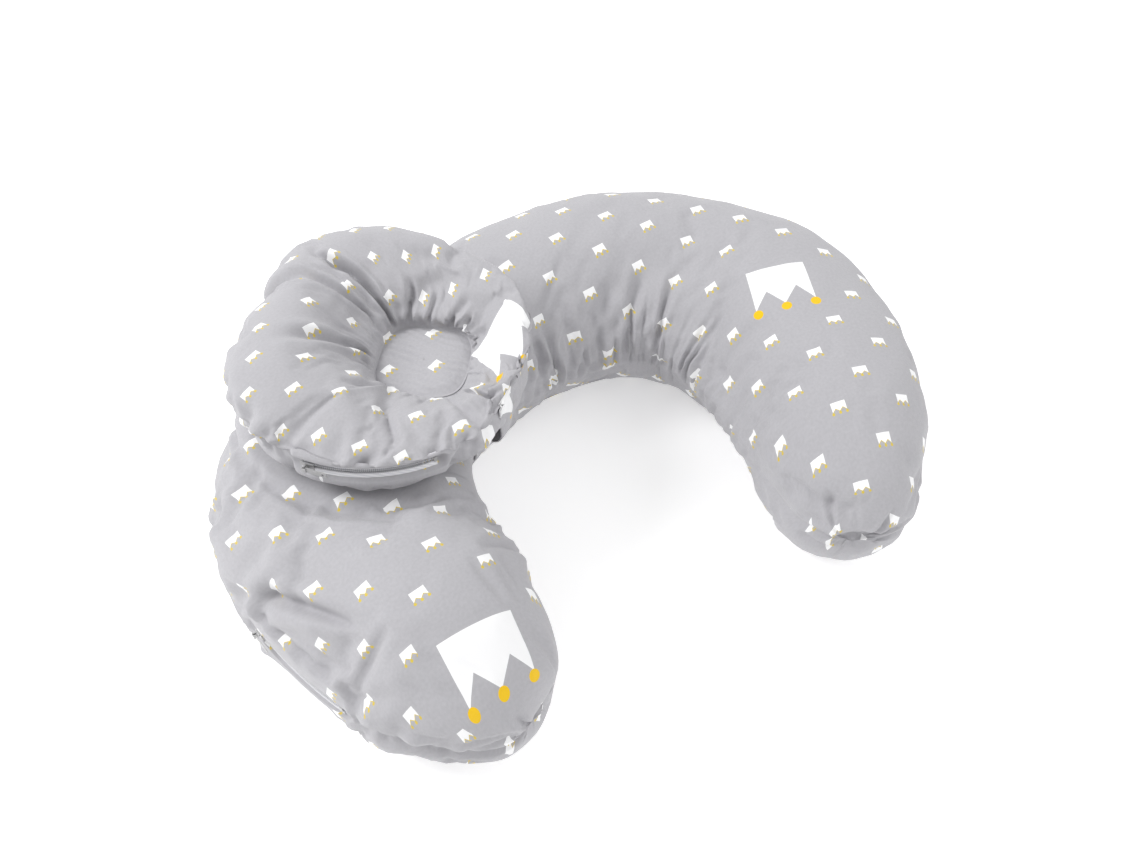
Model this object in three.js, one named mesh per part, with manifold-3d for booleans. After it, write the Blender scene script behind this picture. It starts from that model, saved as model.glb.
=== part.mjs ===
// U-shaped nursing pillow with a small round head pillow strapped to its left shoulder.
// Units are millimetres, +Z is up, the pillow lies on z = 0 and opens towards -Y.
import * as THREE from 'three';
import { mergeVertices } from 'three/addons/utils/BufferGeometryUtils.js';
import Module from 'manifold-3d';

// ---- main pillow: three arcs on each side of the middle of the back ----
const HEIGHT = 160;
const SEAM_Z = 74;
const FLAT_SINK = 7;
const BACK_RADIUS = 385;
const BACK_HALF_WIDTH = 87;
const END_CAP = 87;
const LEFT = { sign: -1, backTurn: 17.5, shoulderRadius: 157, shoulderTurn: 76, armRadius: 420 };
const RIGHT = { sign: 1, backTurn: 14, shoulderRadius: 140, shoulderTurn: 87, armRadius: 414 };
LEFT.halfLength = 498;
LEFT.shoulderHalfWidth = 104;
LEFT.endHalfWidth = 78;
RIGHT.halfLength = 504;
RIGHT.shoulderHalfWidth = 97;
RIGHT.endHalfWidth = 71;
const WIDEST_AT = 0.55;
const ROUNDNESS = 0.91;
const UNDERSIDE_ROUNDNESS = 0.7;

// ---- cloth layers and clearances ----
const GAP = 0.3;
const COVER_T = 1.2;
const LINER_D = COVER_T + 0.5;
const LINER_T = 1.0;
const FILL_D = LINER_D + LINER_T + 0.4;
const SEAM_TUCK = 5.5;
const SEAM_TUCK_SPREAD = 0.25;

// ---- head pillow ----
const HEAD_X = -150;
const HEAD_Y = -68;
const HEAD_R = 120;
const SEAT_Z = 146;
const HEAD_SEAM_Z = 182;
const HEAD_RISE = 42;
const PANEL_DX = 28;
const PANEL_DY = -18;
const PANEL_R = 37;
const PANEL_TURN = 50;
const PANEL_DROP = 12;
const SEAT_FLARE = 0.8;
const SEAT_MARGIN = 6;

// ---- strap round the left shoulder, sewn into the head pillow's rim ----
const STRAP_AT = -106;
const STRAP_WIDTH = 60;
const STRAP_T = 1.6;
const STRAP_CINCH = 3.5;
const STRAP_GAP = 0.4;
const STRAP_RAMP = 12;
const RIM_JOIN_DEG = -40;
const RIM_JOIN_SPREAD = 24;
const RIM_JOIN_DROP = 3;
const FLAP_DROP = 62;
const FLAP_FOOT = 0.7;

// ---- zips ----
const ZIP_SLOT = 4.5;
const ZIP_SLOT_RAMP = 9;
const MAIN_ZIP_START = -320;
const MAIN_ZIP_END = -401;
const HEAD_ZIP_START = 214;
const HEAD_ZIP_END = 264;
const COIL_GROOVE = 0.8;
const COIL_H = 1.6;
const COIL_OUT = 1.8;
const COIL_IN = 3.8;
const TAPE_OUT = 2.8;
const TAPE_T = 0.7;
const TAPE_TOP = 7;
const SLIDER_LENGTH = 9;
const SLIDER_HALF_H = 3.4;
const PLATE_T = 1.2;
const POST_HALF = 0.5;
const STOP_LENGTH = 2.5;
const BAIL_OUT = 3.2;
const BAIL_ROD = 1.0;
const PULL_LENGTH = 18;
const PULL_WIDTH = 4.4;
const PULL_T = 1.0;
const EYE_WALL = 0.6;

// ---- mesh fineness ----
const ACROSS = 9;
const STEP_ALONG = 34;
const CAP_STEPS = 5;
const HEAD_ROUND = 32;
const HEAD_ACROSS = 8;

const rad = THREE.MathUtils.degToRad;
const wasm = await Module();
wasm.setup();

const clamp01 = (t) => Math.min(1, Math.max(0, t));
const smooth = (t) => clamp01(t) ** 2 * (3 - 2 * clamp01(t));
const signedPower = (v, p) => Math.sign(v) * Math.abs(v) ** p;

// ---------------------------------------------------------------- solids

// Closed solid between two grids of points: walls join them along every open border.
function solidBetween(outer, inner, wrapU, wrapV) {
  const nu = outer.length;
  const nv = outer[0].length;
  const points = [...outer.flat(), ...inner.flat()];
  const faces = [];
  const at = (layer, u, v) => layer * nu * nv + (u % nu) * nv + (v % nv);
  const quad = (a, b, c, d) => faces.push(a, b, c, a, c, d);
  const lastU = wrapU ? nu : nu - 1;
  const lastV = wrapV ? nv : nv - 1;
  for (let u = 0; u < lastU; u += 1) {
    for (let v = 0; v < lastV; v += 1) {
      quad(at(0, u, v), at(0, u + 1, v), at(0, u + 1, v + 1), at(0, u, v + 1));
      quad(at(1, u, v), at(1, u, v + 1), at(1, u + 1, v + 1), at(1, u + 1, v));
    }
  }
  if (!wrapV) {
    for (let u = 0; u < lastU; u += 1) {
      quad(at(0, u, 0), at(1, u, 0), at(1, u + 1, 0), at(0, u + 1, 0));
      quad(at(0, u, nv - 1), at(0, u + 1, nv - 1), at(1, u + 1, nv - 1), at(1, u, nv - 1));
    }
  }
  if (!wrapU) {
    for (let v = 0; v < lastV; v += 1) {
      quad(at(0, 0, v), at(0, 0, v + 1), at(1, 0, v + 1), at(1, 0, v));
      quad(at(0, nu - 1, v), at(1, nu - 1, v), at(1, nu - 1, v + 1), at(0, nu - 1, v + 1));
    }
  }
  return finished(points, faces);
}

// Merge repeated points, drop flat faces and turn the faces outward.
function finished(points, faces) {
  const raw = new THREE.BufferGeometry().setFromPoints(points);
  raw.setIndex(faces);
  const merged = mergeVertices(raw, 1e-3);
  const index = merged.index.array;
  const position = merged.attributes.position;
  const corner = [new THREE.Vector3(), new THREE.Vector3(), new THREE.Vector3()];
  const kept = [];
  let volume = 0;
  for (let i = 0; i < index.length; i += 3) {
    const [a, b, c] = [index[i], index[i + 1], index[i + 2]];
    if (a === b || b === c || a === c) continue;
    kept.push(a, b, c);
    corner.forEach((p, k) => p.fromBufferAttribute(position, index[i + k]));
    volume += corner[0].dot(corner[1].cross(corner[2])) / 6;
  }
  if (volume < 0) {
    for (let i = 0; i < kept.length; i += 3) {
      [kept[i + 1], kept[i + 2]] = [kept[i + 2], kept[i + 1]];
    }
  }
  merged.setIndex(kept);
  merged.computeVertexNormals();
  return merged;
}

function toManifold(geometry) {
  const clean = geometry.clone();
  clean.deleteAttribute('normal');
  clean.deleteAttribute('uv');
  const merged = mergeVertices(clean, 1e-4);
  return new wasm.Manifold(new wasm.Mesh({
    numProp: 3,
    vertProperties: new Float32Array(merged.attributes.position.array),
    triVerts: new Uint32Array(merged.index.array),
  }));
}

function toGeometry(manifold) {
  const mesh = manifold.getMesh();
  const geometry = new THREE.BufferGeometry();
  geometry.setAttribute('position', new THREE.BufferAttribute(new Float32Array(mesh.vertProperties), 3));
  geometry.setIndex(new THREE.BufferAttribute(new Uint32Array(mesh.triVerts), 1));
  geometry.computeVertexNormals();
  return geometry;
}

const joined = (...parts) => toGeometry(parts.map(toManifold).reduce((a, b) => a.add(b)));
const cut = (body, ...tools) => toGeometry(
  tools.map(toManifold).reduce((a, b) => a.subtract(b), toManifold(body)),
);

// ---------------------------------------------------------------- main pillow surface

// Point and outward direction on the centreline, s measured from the middle of the back.
function centreAt(s) {
  const side = s < 0 ? LEFT : RIGHT;
  const arcs = [
    [BACK_RADIUS, BACK_RADIUS * rad(side.backTurn)],
    [side.shoulderRadius, side.shoulderRadius * rad(side.shoulderTurn)],
    [side.armRadius, Infinity],
  ];
  let rest = Math.abs(s);
  let heading = 0;
  let x = 0;
  let y = 0;
  for (const [radius, length] of arcs) {
    const turn = Math.min(rest, length) / radius;
    x += radius * (Math.sin(heading + turn) - Math.sin(heading));
    y += radius * (Math.cos(heading + turn) - Math.cos(heading));
    heading += turn;
    rest -= Math.min(rest, length);
    if (rest <= 0) break;
  }
  return {
    x: side.sign * x,
    y,
    outX: side.sign * Math.sin(heading),
    outY: Math.cos(heading),
  };
}

function halfWidthAt(s) {
  const side = s < 0 ? LEFT : RIGHT;
  const along = Math.abs(s) / side.halfLength;
  const shoulder = smooth(along / WIDEST_AT);
  const arm = smooth((along - WIDEST_AT) / (1 - WIDEST_AT));
  const wide = BACK_HALF_WIDTH + (side.shoulderHalfWidth - BACK_HALF_WIDTH) * shoulder;
  return wide + (side.endHalfWidth - side.shoulderHalfWidth) * arm;
}

// Cinch under the strap: full depth below the band, eased out beside it.
function cinchAt(s) {
  const beside = Math.abs(s - STRAP_AT) - STRAP_WIDTH / 2 - 1.5;
  return STRAP_CINCH * (1 - smooth(beside / STRAP_RAMP));
}

// Top of the main pillow is pressed flat where the head pillow lies on it.
function pressedTop(x, y) {
  const reach = Math.hypot(x - HEAD_X, y - HEAD_Y) - HEAD_R - SEAT_MARGIN;
  return SEAT_Z + SEAT_FLARE * Math.max(0, reach);
}

// Half-height of the zip opening in the outer seam of the left arm.
function mainSlotAt(s) {
  const outside = Math.max(s - MAIN_ZIP_START, MAIN_ZIP_END - s);
  return ZIP_SLOT * (1 - smooth(outside / ZIP_SLOT_RAMP));
}

// The lining is drawn in along the seam to leave room for the zip; the tuck ends with the cap.
const seamTuck = (station, angle) => SEAM_TUCK * Math.cos(station.turn)
  * Math.exp(-((Math.sin(angle) / SEAM_TUCK_SPREAD) ** 2));

// A station is a place along the pillow: s up to the cap, then turn round the cap.
function stations() {
  const list = [];
  const add = (s) => list.push({ s, turn: 0 });
  const capStart = [-(LEFT.halfLength - END_CAP), RIGHT.halfLength - END_CAP];
  const strapEdges = [-1, 1].map((k) => STRAP_AT + k * (STRAP_WIDTH / 2));
  const marks = [capStart[0], MAIN_ZIP_END - ZIP_SLOT_RAMP, MAIN_ZIP_END, MAIN_ZIP_START];
  marks.push(MAIN_ZIP_START + ZIP_SLOT_RAMP, strapEdges[0] - 1.5 - STRAP_RAMP, strapEdges[0] - 1.5);
  marks.push(strapEdges[0], STRAP_AT, strapEdges[1], strapEdges[1] + 1.5);
  marks.push(strapEdges[1] + 1.5 + STRAP_RAMP, 0, capStart[1]);
  marks.sort((a, b) => a - b);
  for (let i = 0; i < marks.length - 1; i += 1) {
    const steps = Math.max(1, Math.round((marks[i + 1] - marks[i]) / STEP_ALONG));
    for (let k = 0; k < steps; k += 1) {
      add(marks[i] + (marks[i + 1] - marks[i]) * (k / steps));
    }
  }
  add(capStart[1]);
  for (let k = 1; k <= CAP_STEPS; k += 1) {
    const turn = (Math.PI / 2) * (k / CAP_STEPS);
    list.push({ s: capStart[1], turn });
    list.unshift({ s: capStart[0], turn });
  }
  return list;
}

// Surface point at a station. side is 1 over the top and -1 underneath; angle runs from 0 at
// the outer seam to PI at the inner seam; inset is the depth below the outside of the cover.
function pillowPoint(station, side, angle, inset, seamGap = 0) {
  const depth = inset + cinchAt(station.s);
  const reach = Math.sign(station.s) * (END_CAP - depth) * Math.sin(station.turn);
  const s = station.s + reach;
  const c = centreAt(s);
  const shrink = Math.cos(station.turn);
  const lateral = (halfWidthAt(s) - depth) * shrink * signedPower(Math.cos(angle), ROUNDNESS);
  const x = c.x + c.outX * lateral;
  const y = c.y + c.outY * lateral;
  const open = mainSlotAt(s) * Math.max(0, Math.cos(angle)) ** 2 * (seamGap > 0 ? 1 : 0);
  const edge = seamGap / 2 + open;
  const lift = Math.abs(Math.sin(angle)) ** ROUNDNESS * shrink;
  if (side > 0) {
    const z = SEAM_Z + edge + (HEIGHT - SEAM_Z - edge - depth) * lift;
    return new THREE.Vector3(x, y, Math.min(z, pressedTop(x, y) - depth));
  }
  const z = SEAM_Z - edge - (SEAM_Z + FLAT_SINK - edge - depth) * lift;
  return new THREE.Vector3(x, y, Math.max(z, depth));
}

const halfTurn = (n) => Array.from({ length: n + 1 }, (_, k) => (Math.PI * k) / n);

// One half of a cover or lining: the upper panel (side = 1) or the lower one (side = -1).
function mainPanel(side, inset, thickness, tucked) {
  const list = stations();
  const layer = (depth) => list.map((station) => halfTurn(ACROSS).map((angle) => (
    pillowPoint(station, side, angle, depth + (tucked ? seamTuck(station, angle) : 0), GAP)
  )));
  return solidBetween(layer(inset), layer(inset + thickness), false, false);
}

function mainFill() {
  const layer = (side) => stations().map((station) => halfTurn(ACROSS).map((angle) => (
    pillowPoint(station, side, angle, FILL_D + seamTuck(station, angle), GAP)
  )));
  return solidBetween(layer(1), layer(-1), false, false);
}

// ---------------------------------------------------------------- head pillow surface

const onHead = (deg, radius) => [
  HEAD_X + radius * Math.cos(rad(deg)),
  HEAD_Y + radius * Math.sin(rad(deg)),
];

// Rounded-square outline of the flat centre panel.
function panelPoint(deg, scale, inset) {
  const turned = rad(deg - PANEL_TURN);
  const square = (Math.abs(Math.cos(turned)) ** 3.4 + Math.abs(Math.sin(turned)) ** 3.4) ** (-1 / 3.4);
  const radius = (PANEL_R * square + inset) * scale;
  return [
    HEAD_X + PANEL_DX + radius * Math.cos(rad(deg)),
    HEAD_Y + PANEL_DY + radius * Math.sin(rad(deg)),
  ];
}

function headSlotAt(deg) {
  const ramp = ZIP_SLOT_RAMP / HEAD_R / rad(1);
  const outside = Math.max(deg - HEAD_ZIP_END, HEAD_ZIP_START - deg);
  return ZIP_SLOT * (1 - smooth(outside / ramp));
}

// Cross-section of the ring: turn 0 at the rim seam, 90 on the crest or underneath, 180 at the
// centre panel. side is 1 over the top and -1 underneath, where it stays flat beyond 90.
function ringPoint(deg, side, turn, inset, seamGap = 0) {
  const rim = onHead(deg, HEAD_R - inset);
  const panel = panelPoint(deg, 1, inset);
  const middle = [(rim[0] + panel[0]) / 2, (rim[1] + panel[1]) / 2];
  const half = [(rim[0] - panel[0]) / 2, (rim[1] - panel[1]) / 2];
  const c = Math.cos(turn);
  const open = headSlotAt(deg) * Math.max(0, c) ** 2 * (seamGap > 0 ? 1 : 0);
  const edge = (seamGap / 2 + open) * Math.max(0, c);
  const base = HEAD_SEAM_Z - (PANEL_DROP * (1 - c)) / 2;
  const x = middle[0] + half[0] * c;
  const y = middle[1] + half[1] * c;
  if (side > 0) {
    const lift = Math.abs(Math.sin(turn)) ** ROUNDNESS;
    return new THREE.Vector3(x, y, base + edge + (HEAD_RISE - inset - edge) * lift);
  }
  const drop = base - edge - (SEAT_Z + GAP + inset);
  const depth = Math.sin(Math.min(turn, Math.PI / 2)) ** UNDERSIDE_ROUNDNESS;
  return new THREE.Vector3(x, y, base - edge - drop * depth);
}

const degrees = (n) => Array.from({ length: n }, (_, k) => (360 * k) / n);

// Angles round the head pillow, with the ends of its zip opening among them.
function headAngles() {
  const ramp = ZIP_SLOT_RAMP / HEAD_R / rad(1);
  const marks = [HEAD_ZIP_START - ramp, HEAD_ZIP_START, HEAD_ZIP_END, HEAD_ZIP_END + ramp];
  const step = 360 / HEAD_ROUND;
  const far = (deg) => marks.every((mark) => Math.abs(mark - deg) > step * 0.3);
  return [...degrees(HEAD_ROUND).filter(far), ...marks].sort((a, b) => a - b);
}

const headTuck = (turn) => SEAM_TUCK * Math.exp(-((Math.sin(turn) / SEAM_TUCK_SPREAD) ** 2))
  * Math.max(0, Math.cos(turn));

function headRingPanel() {
  const turns = halfTurn(HEAD_ACROSS);
  const layer = (inset) => headAngles().map((deg) => turns.map((turn) => (
    ringPoint(deg, 1, turn, inset, GAP)
  )));
  return solidBetween(layer(0), layer(COVER_T), true, false);
}

// Disc filling the inside of the ring at one height, as rings of points down to its middle.
function discRows(deg, z, inset, rows, from = 1) {
  return Array.from({ length: rows + 1 }, (_, k) => {
    const [x, y] = panelPoint(deg, from * (1 - k / rows), inset);
    return new THREE.Vector3(x, y, z);
  });
}

function headCentrePanel() {
  const top = HEAD_SEAM_Z - PANEL_DROP;
  const layer = (z) => degrees(HEAD_ROUND).map((deg) => discRows(deg, z, -GAP * 1.5, 2));
  return solidBetween(layer(top), layer(top - COVER_T), true, false);
}

// Lower half of a head-pillow bag: rim seam, round to the flat underside, then to the middle.
function headBack(inset, thickness, tucked) {
  const turns = halfTurn(HEAD_ACROSS).slice(0, HEAD_ACROSS / 2 + 1);
  const layer = (depth) => headAngles().map((deg) => {
    const curve = turns.map((turn) => (
      ringPoint(deg, -1, turn, depth + (tucked ? headTuck(turn) : 0), GAP)
    ));
    const last = curve[curve.length - 1];
    const middle = new THREE.Vector3(HEAD_X, HEAD_Y, last.z);
    return [...curve, last.clone().lerp(middle, 0.5), middle];
  });
  return solidBetween(layer(inset), layer(inset + thickness), true, false);
}

// Upper half of the lining: over the ring and across under the centre panel.
function headLinerTop() {
  const turns = halfTurn(HEAD_ACROSS);
  const layer = (depth) => headAngles().map((deg) => {
    const curve = turns.map((turn) => ringPoint(deg, 1, turn, depth + headTuck(turn), GAP));
    const z = HEAD_SEAM_Z - PANEL_DROP - depth;
    return [...curve, ...discRows(deg, z, depth, 2)];
  });
  return solidBetween(layer(LINER_D), layer(LINER_D + LINER_T), true, false);
}

function headRingFill() {
  const layer = (side) => headAngles().map((deg) => halfTurn(HEAD_ACROSS).map((turn) => (
    ringPoint(deg, side, turn, FILL_D + headTuck(turn), GAP)
  )));
  return solidBetween(layer(1), layer(-1), true, false);
}

function headCentrePad() {
  const top = HEAD_SEAM_Z - PANEL_DROP - FILL_D;
  const bottom = SEAT_Z + GAP + FILL_D;
  const layer = (z) => degrees(HEAD_ROUND).map((deg) => discRows(deg, z, -GAP * 2, 2));
  return solidBetween(layer(top), layer(bottom), true, false);
}

// ---------------------------------------------------------------- strap

function strapGeometry() {
  const edges = [STRAP_AT - STRAP_WIDTH / 2, STRAP_AT + STRAP_WIDTH / 2];
  const list = stations().filter(({ s, turn }) => turn === 0 && s >= edges[0] && s <= edges[1]);
  const angles = halfTurn(ACROSS);
  const row = (station, side, lift) => angles.map((angle) => (
    pillowPoint(station, side, angle, -lift, GAP)
  ));
  const layer = (lift) => list.map((station) => (
    [...row(station, 1, lift), ...row(station, -1, lift).reverse()]
  ));
  const loop = solidBetween(layer(STRAP_GAP + STRAP_T), layer(STRAP_GAP), false, true);
  return joined(loop, strapFlap(edges));
}

// Free length of the strap from the loop on the inner side up to the head pillow's rim.
function strapFlap(edges) {
  const across = 6;
  const down = 8;
  const curveAt = (k) => {
    const deg = RIM_JOIN_DEG + RIM_JOIN_SPREAD * ((2 * k) / across - 1);
    const [x, y] = onHead(deg, HEAD_R + STRAP_GAP);
    const top = new THREE.Vector3(x, y, HEAD_SEAM_Z - RIM_JOIN_DROP);
    const knee = new THREE.Vector3(x, y, HEAD_SEAM_Z - FLAP_DROP);
    const s = edges[0] + 1 + ((edges[1] - edges[0] - 2) * k) / across;
    const inLoop = (angle) => pillowPoint({ s, turn: 0 }, 1, angle, -(STRAP_GAP + STRAP_T / 2));
    const end = inLoop(Math.PI).lerp(inLoop(Math.PI - Math.PI / ACROSS), FLAP_FOOT);
    return new THREE.QuadraticBezierCurve3(top, knee, end);
  };
  const curves = Array.from({ length: across + 1 }, (_, k) => curveAt(k));
  const inner = curves.map((curve) => curve.getPoints(down));
  const outer = inner.map((row, i) => row.map((p, j) => {
    const before = inner[Math.max(0, i - 1)][j];
    const after = inner[Math.min(across, i + 1)][j];
    const above = row[Math.max(0, j - 1)];
    const below = row[Math.min(down, j + 1)];
    const side = after.clone().sub(before);
    const normal = side.cross(below.clone().sub(above)).normalize();
    const outward = normal.dot(new THREE.Vector3(0.5, -1, 0)) < 0 ? -1 : 1;
    return p.clone().addScaledVector(normal, outward * STRAP_T);
  }));
  return solidBetween(outer, inner, false, false);
}

// ---------------------------------------------------------------- zips

// Bar of rectangular section along an arc about a vertical axis.
function arcBar(track, out, inn, low, high, from, to, steps) {
  const rows = Array.from({ length: steps + 1 }, (_, k) => {
    const angle = from + ((to - from) * k) / steps;
    const at = (depth, z) => new THREE.Vector3(
      track.x + (track.radius - depth) * Math.cos(angle),
      track.y + (track.radius - depth) * Math.sin(angle),
      track.z + z,
    );
    return [[at(out, low), at(out, high)], [at(inn, low), at(inn, high)]];
  });
  return solidBetween(rows.map((row) => row[0]), rows.map((row) => row[1]), false, false);
}

// Every piece of one zip. The track is the arc of the seam; the slider waits at `from`.
function zipPieces(track) {
  const span = track.to - track.from;
  const sign = Math.sign(span);
  const arc = (mm) => (sign * mm) / track.radius;
  const stopArc = arc(STOP_LENGTH);
  const coilFrom = track.from + stopArc + arc(GAP);
  const coilTo = track.to - stopArc - arc(GAP);
  const steps = 10;
  const coilTop = COIL_GROOVE + COIL_H;
  const bar = (...rest) => arcBar(track, ...rest);
  const tape = (low, high) => bar(TAPE_OUT, TAPE_OUT + TAPE_T, low, high, track.from, track.to, steps);
  const coil = (low, high) => bar(COIL_OUT, COIL_IN, low, high, coilFrom, coilTo, steps * 2);
  const stop = (from, to) => bar(COIL_OUT, COIL_IN, -coilTop, coilTop, from, to, 1);
  const s0 = coilFrom + arc(0.5);
  const s1 = s0 + arc(SLIDER_LENGTH);
  const plateIn = COIL_OUT - GAP;
  const plateOut = plateIn - PLATE_T;
  const backOut = COIL_IN + GAP;
  const h = SLIDER_HALF_H;
  const outerPlate = bar(plateOut, plateIn, -h, h, s0, s1, 2);
  const post = bar(plateIn - 0.2, backOut + 0.2, -POST_HALF, POST_HALF, s0 + arc(2), s1 - arc(2), 2);
  const innerPlate = bar(backOut, backOut + PLATE_T, -h, h, s0, s1, 2);
  const bailIn = plateOut + 0.2;
  const bailOut = plateOut - BAIL_OUT;
  const m0 = s0 + arc(2.5);
  const m1 = m0 + arc(BAIL_ROD);
  const leg = (low, high) => bar(bailOut, bailIn, low, high, m0, m1, 1);
  const rodHalf = PULL_WIDTH / 2 + GAP + BAIL_ROD;
  const rod = bar(bailOut, bailOut + BAIL_ROD, -rodHalf, rodHalf, m0, m1, 1);
  const legs = [leg(rodHalf - BAIL_ROD, rodHalf), leg(-rodHalf, -rodHalf + BAIL_ROD)];
  const slider = joined(outerPlate, post, innerPlate, rod, ...legs);
  const rodMiddle = bailOut + BAIL_ROD / 2;
  const pull = pullGeometry(track, (m0 + m1) / 2, rodMiddle, sign);
  return {
    tape_upper: tape(coilTop + GAP, TAPE_TOP),
    tape_lower: tape(-TAPE_TOP, -coilTop - GAP),
    coil_upper: coil(COIL_GROOVE, coilTop),
    coil_lower: coil(-coilTop, -COIL_GROOVE),
    stop_start: stop(track.from, track.from + stopArc),
    stop_end: stop(track.to - stopArc, track.to),
    slider,
    pull,
  };
}

// Pull tab: a flat tongue with a square eye round the slider's bail rod.
function pullGeometry(track, angle, depth, sign) {
  const eye = BAIL_ROD / Math.SQRT2 + GAP;
  const box = (x0, x1, y0, y1, z0, z1) => new THREE.BoxGeometry(x1 - x0, y1 - y0, z1 - z0)
    .translate((x0 + x1) / 2, (y0 + y1) / 2, (z0 + z1) / 2);
  const half = PULL_WIDTH / 2;
  const reach = eye + EYE_WALL;
  const ringBody = box(-reach, reach, -reach, reach, -half, half);
  const tongue = box(reach - 0.2, PULL_LENGTH, -PULL_T / 2, PULL_T / 2, -half, half);
  const hole = box(-eye, eye, -eye, eye, -half - 1, half + 1);
  const grip = box(PULL_LENGTH - 4, PULL_LENGTH - 2, -PULL_T, PULL_T, -half + 1.2, half - 1.2);
  const tab = cut(joined(ringBody, tongue), hole, grip);
  const radius = track.radius - depth;
  const place = new THREE.Matrix4().makeRotationZ(angle + (sign * Math.PI) / 2);
  place.setPosition(
    track.x + radius * Math.cos(angle),
    track.y + radius * Math.sin(angle),
    track.z,
  );
  tab.applyMatrix4(place);
  return tab;
}

// Circle through three points of the outer seam, so that the slider runs on a true arc.
function mainTrack() {
  const marks = [MAIN_ZIP_START, (MAIN_ZIP_START + MAIN_ZIP_END) / 2, MAIN_ZIP_END];
  const [a, b, c] = marks.map((s) => pillowPoint({ s, turn: 0 }, 1, 0, 0));
  const d = 2 * (a.x * (b.y - c.y) + b.x * (c.y - a.y) + c.x * (a.y - b.y));
  const sq = (p) => p.x * p.x + p.y * p.y;
  const x = (sq(a) * (b.y - c.y) + sq(b) * (c.y - a.y) + sq(c) * (a.y - b.y)) / d;
  const y = (sq(a) * (c.x - b.x) + sq(b) * (a.x - c.x) + sq(c) * (b.x - a.x)) / d;
  const angle = (p) => (Math.atan2(p.y - y, p.x - x) + 2 * Math.PI) % (2 * Math.PI);
  return { x, y, z: SEAM_Z, radius: Math.hypot(a.x - x, a.y - y), from: angle(a), to: angle(c) };
}

const headTrack = {
  x: HEAD_X,
  y: HEAD_Y,
  z: HEAD_SEAM_Z,
  radius: HEAD_R,
  from: rad(HEAD_ZIP_START),
  to: rad(HEAD_ZIP_END),
};

// ---------------------------------------------------------------- assembly

const PRINT_CLOTH = ['#b3b3ba', 0.9, 0];
const LINING_CLOTH = ['#efeeea', 0.92, 0];
const FIBRE = ['#f7f6f2', 0.98, 0];
const TAPE_CLOTH = ['#cfcfd4', 0.85, 0];
const COIL_NYLON = ['#d9d9dc', 0.5, 0];
const ZINC = ['#b9b9b6', 0.35, 0.9];

const root = new THREE.Group();
root.name = 'nursing_pillow';

function addNode(name, geometry, [color, roughness, metalness]) {
  const mesh = new THREE.Mesh(geometry, new THREE.MeshStandardMaterial({ color, roughness, metalness }));
  mesh.name = name;
  root.add(mesh);
}

function addZip(prefix, track) {
  const looks = { tape: TAPE_CLOTH, coil: COIL_NYLON, stop: ZINC, slider: ZINC, pull: ZINC };
  for (const [name, geometry] of Object.entries(zipPieces(track))) {
    addNode(`${prefix}_zip_${name}`, geometry, looks[name.split('_')[0]]);
  }
}

addNode('main_cover_upper', mainPanel(1, 0, COVER_T, false), PRINT_CLOTH);
addNode('main_cover_lower', mainPanel(-1, 0, COVER_T, false), PRINT_CLOTH);
addNode('main_bag_upper', mainPanel(1, LINER_D, LINER_T, true), LINING_CLOTH);
addNode('main_bag_lower', mainPanel(-1, LINER_D, LINER_T, true), LINING_CLOTH);
addNode('main_filling', mainFill(), FIBRE);
addZip('main', mainTrack());
addNode('head_ring_panel', headRingPanel(), PRINT_CLOTH);
addNode('head_centre_panel', headCentrePanel(), PRINT_CLOTH);
addNode('head_back_panel', headBack(0, COVER_T, false), PRINT_CLOTH);
addNode('head_bag_upper', headLinerTop(), LINING_CLOTH);
addNode('head_bag_lower', headBack(LINER_D, LINER_T, true), LINING_CLOTH);
addNode('head_ring_filling', headRingFill(), FIBRE);
addNode('head_centre_pad', headCentrePad(), FIBRE);
addZip('head', headTrack);
addNode('strap', strapGeometry(), PRINT_CLOTH);

// The frame's origin is the middle of the overall box, on the surface the pillow lies on.
const middle = new THREE.Box3().setFromObject(root).getCenter(new THREE.Vector3());
root.children.forEach((mesh) => mesh.geometry.translate(-middle.x, -middle.y, 0));

export default root;
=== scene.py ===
"""Looks of a nursing pillow: a U-shaped pillow, and a small head pillow strapped to its shoulder.

The covers are printed cotton filled with fibre. Every surface here is a numpy grid in
millimetres about the middle of the back's centreline, moved to the row frame at the end.
"""

import math

import bpy
import numpy as np
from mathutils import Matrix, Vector


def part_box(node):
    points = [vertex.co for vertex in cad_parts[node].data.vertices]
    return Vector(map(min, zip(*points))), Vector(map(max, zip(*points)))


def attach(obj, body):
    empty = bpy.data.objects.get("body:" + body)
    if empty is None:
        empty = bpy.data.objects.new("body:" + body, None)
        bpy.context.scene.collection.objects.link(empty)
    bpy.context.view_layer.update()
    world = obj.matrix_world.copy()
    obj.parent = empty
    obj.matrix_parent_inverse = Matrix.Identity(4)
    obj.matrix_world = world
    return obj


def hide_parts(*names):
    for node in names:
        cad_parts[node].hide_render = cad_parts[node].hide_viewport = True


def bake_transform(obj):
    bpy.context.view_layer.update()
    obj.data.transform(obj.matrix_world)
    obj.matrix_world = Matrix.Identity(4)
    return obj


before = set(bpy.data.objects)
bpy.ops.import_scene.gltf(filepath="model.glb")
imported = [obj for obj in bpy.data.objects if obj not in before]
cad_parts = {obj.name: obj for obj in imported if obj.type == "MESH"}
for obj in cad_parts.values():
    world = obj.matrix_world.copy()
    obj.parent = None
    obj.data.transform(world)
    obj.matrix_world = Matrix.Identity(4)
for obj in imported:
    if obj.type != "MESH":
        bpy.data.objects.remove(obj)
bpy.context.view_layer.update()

# ---- sizes of the main pillow, as in the part's source, in millimetres ----
HEIGHT, SEAM_Z, FLAT_SINK = 160.0, 74.0, 7.0
BACK_RADIUS, BACK_HALF_WIDTH, END_CAP = 385.0, 87.0, 87.0
LEFT = dict(
    back=17.5, shoulder_r=157.0, shoulder=76.0, arm_r=420.0, half=498.0, wide=104.0, end=78.0)
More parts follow.
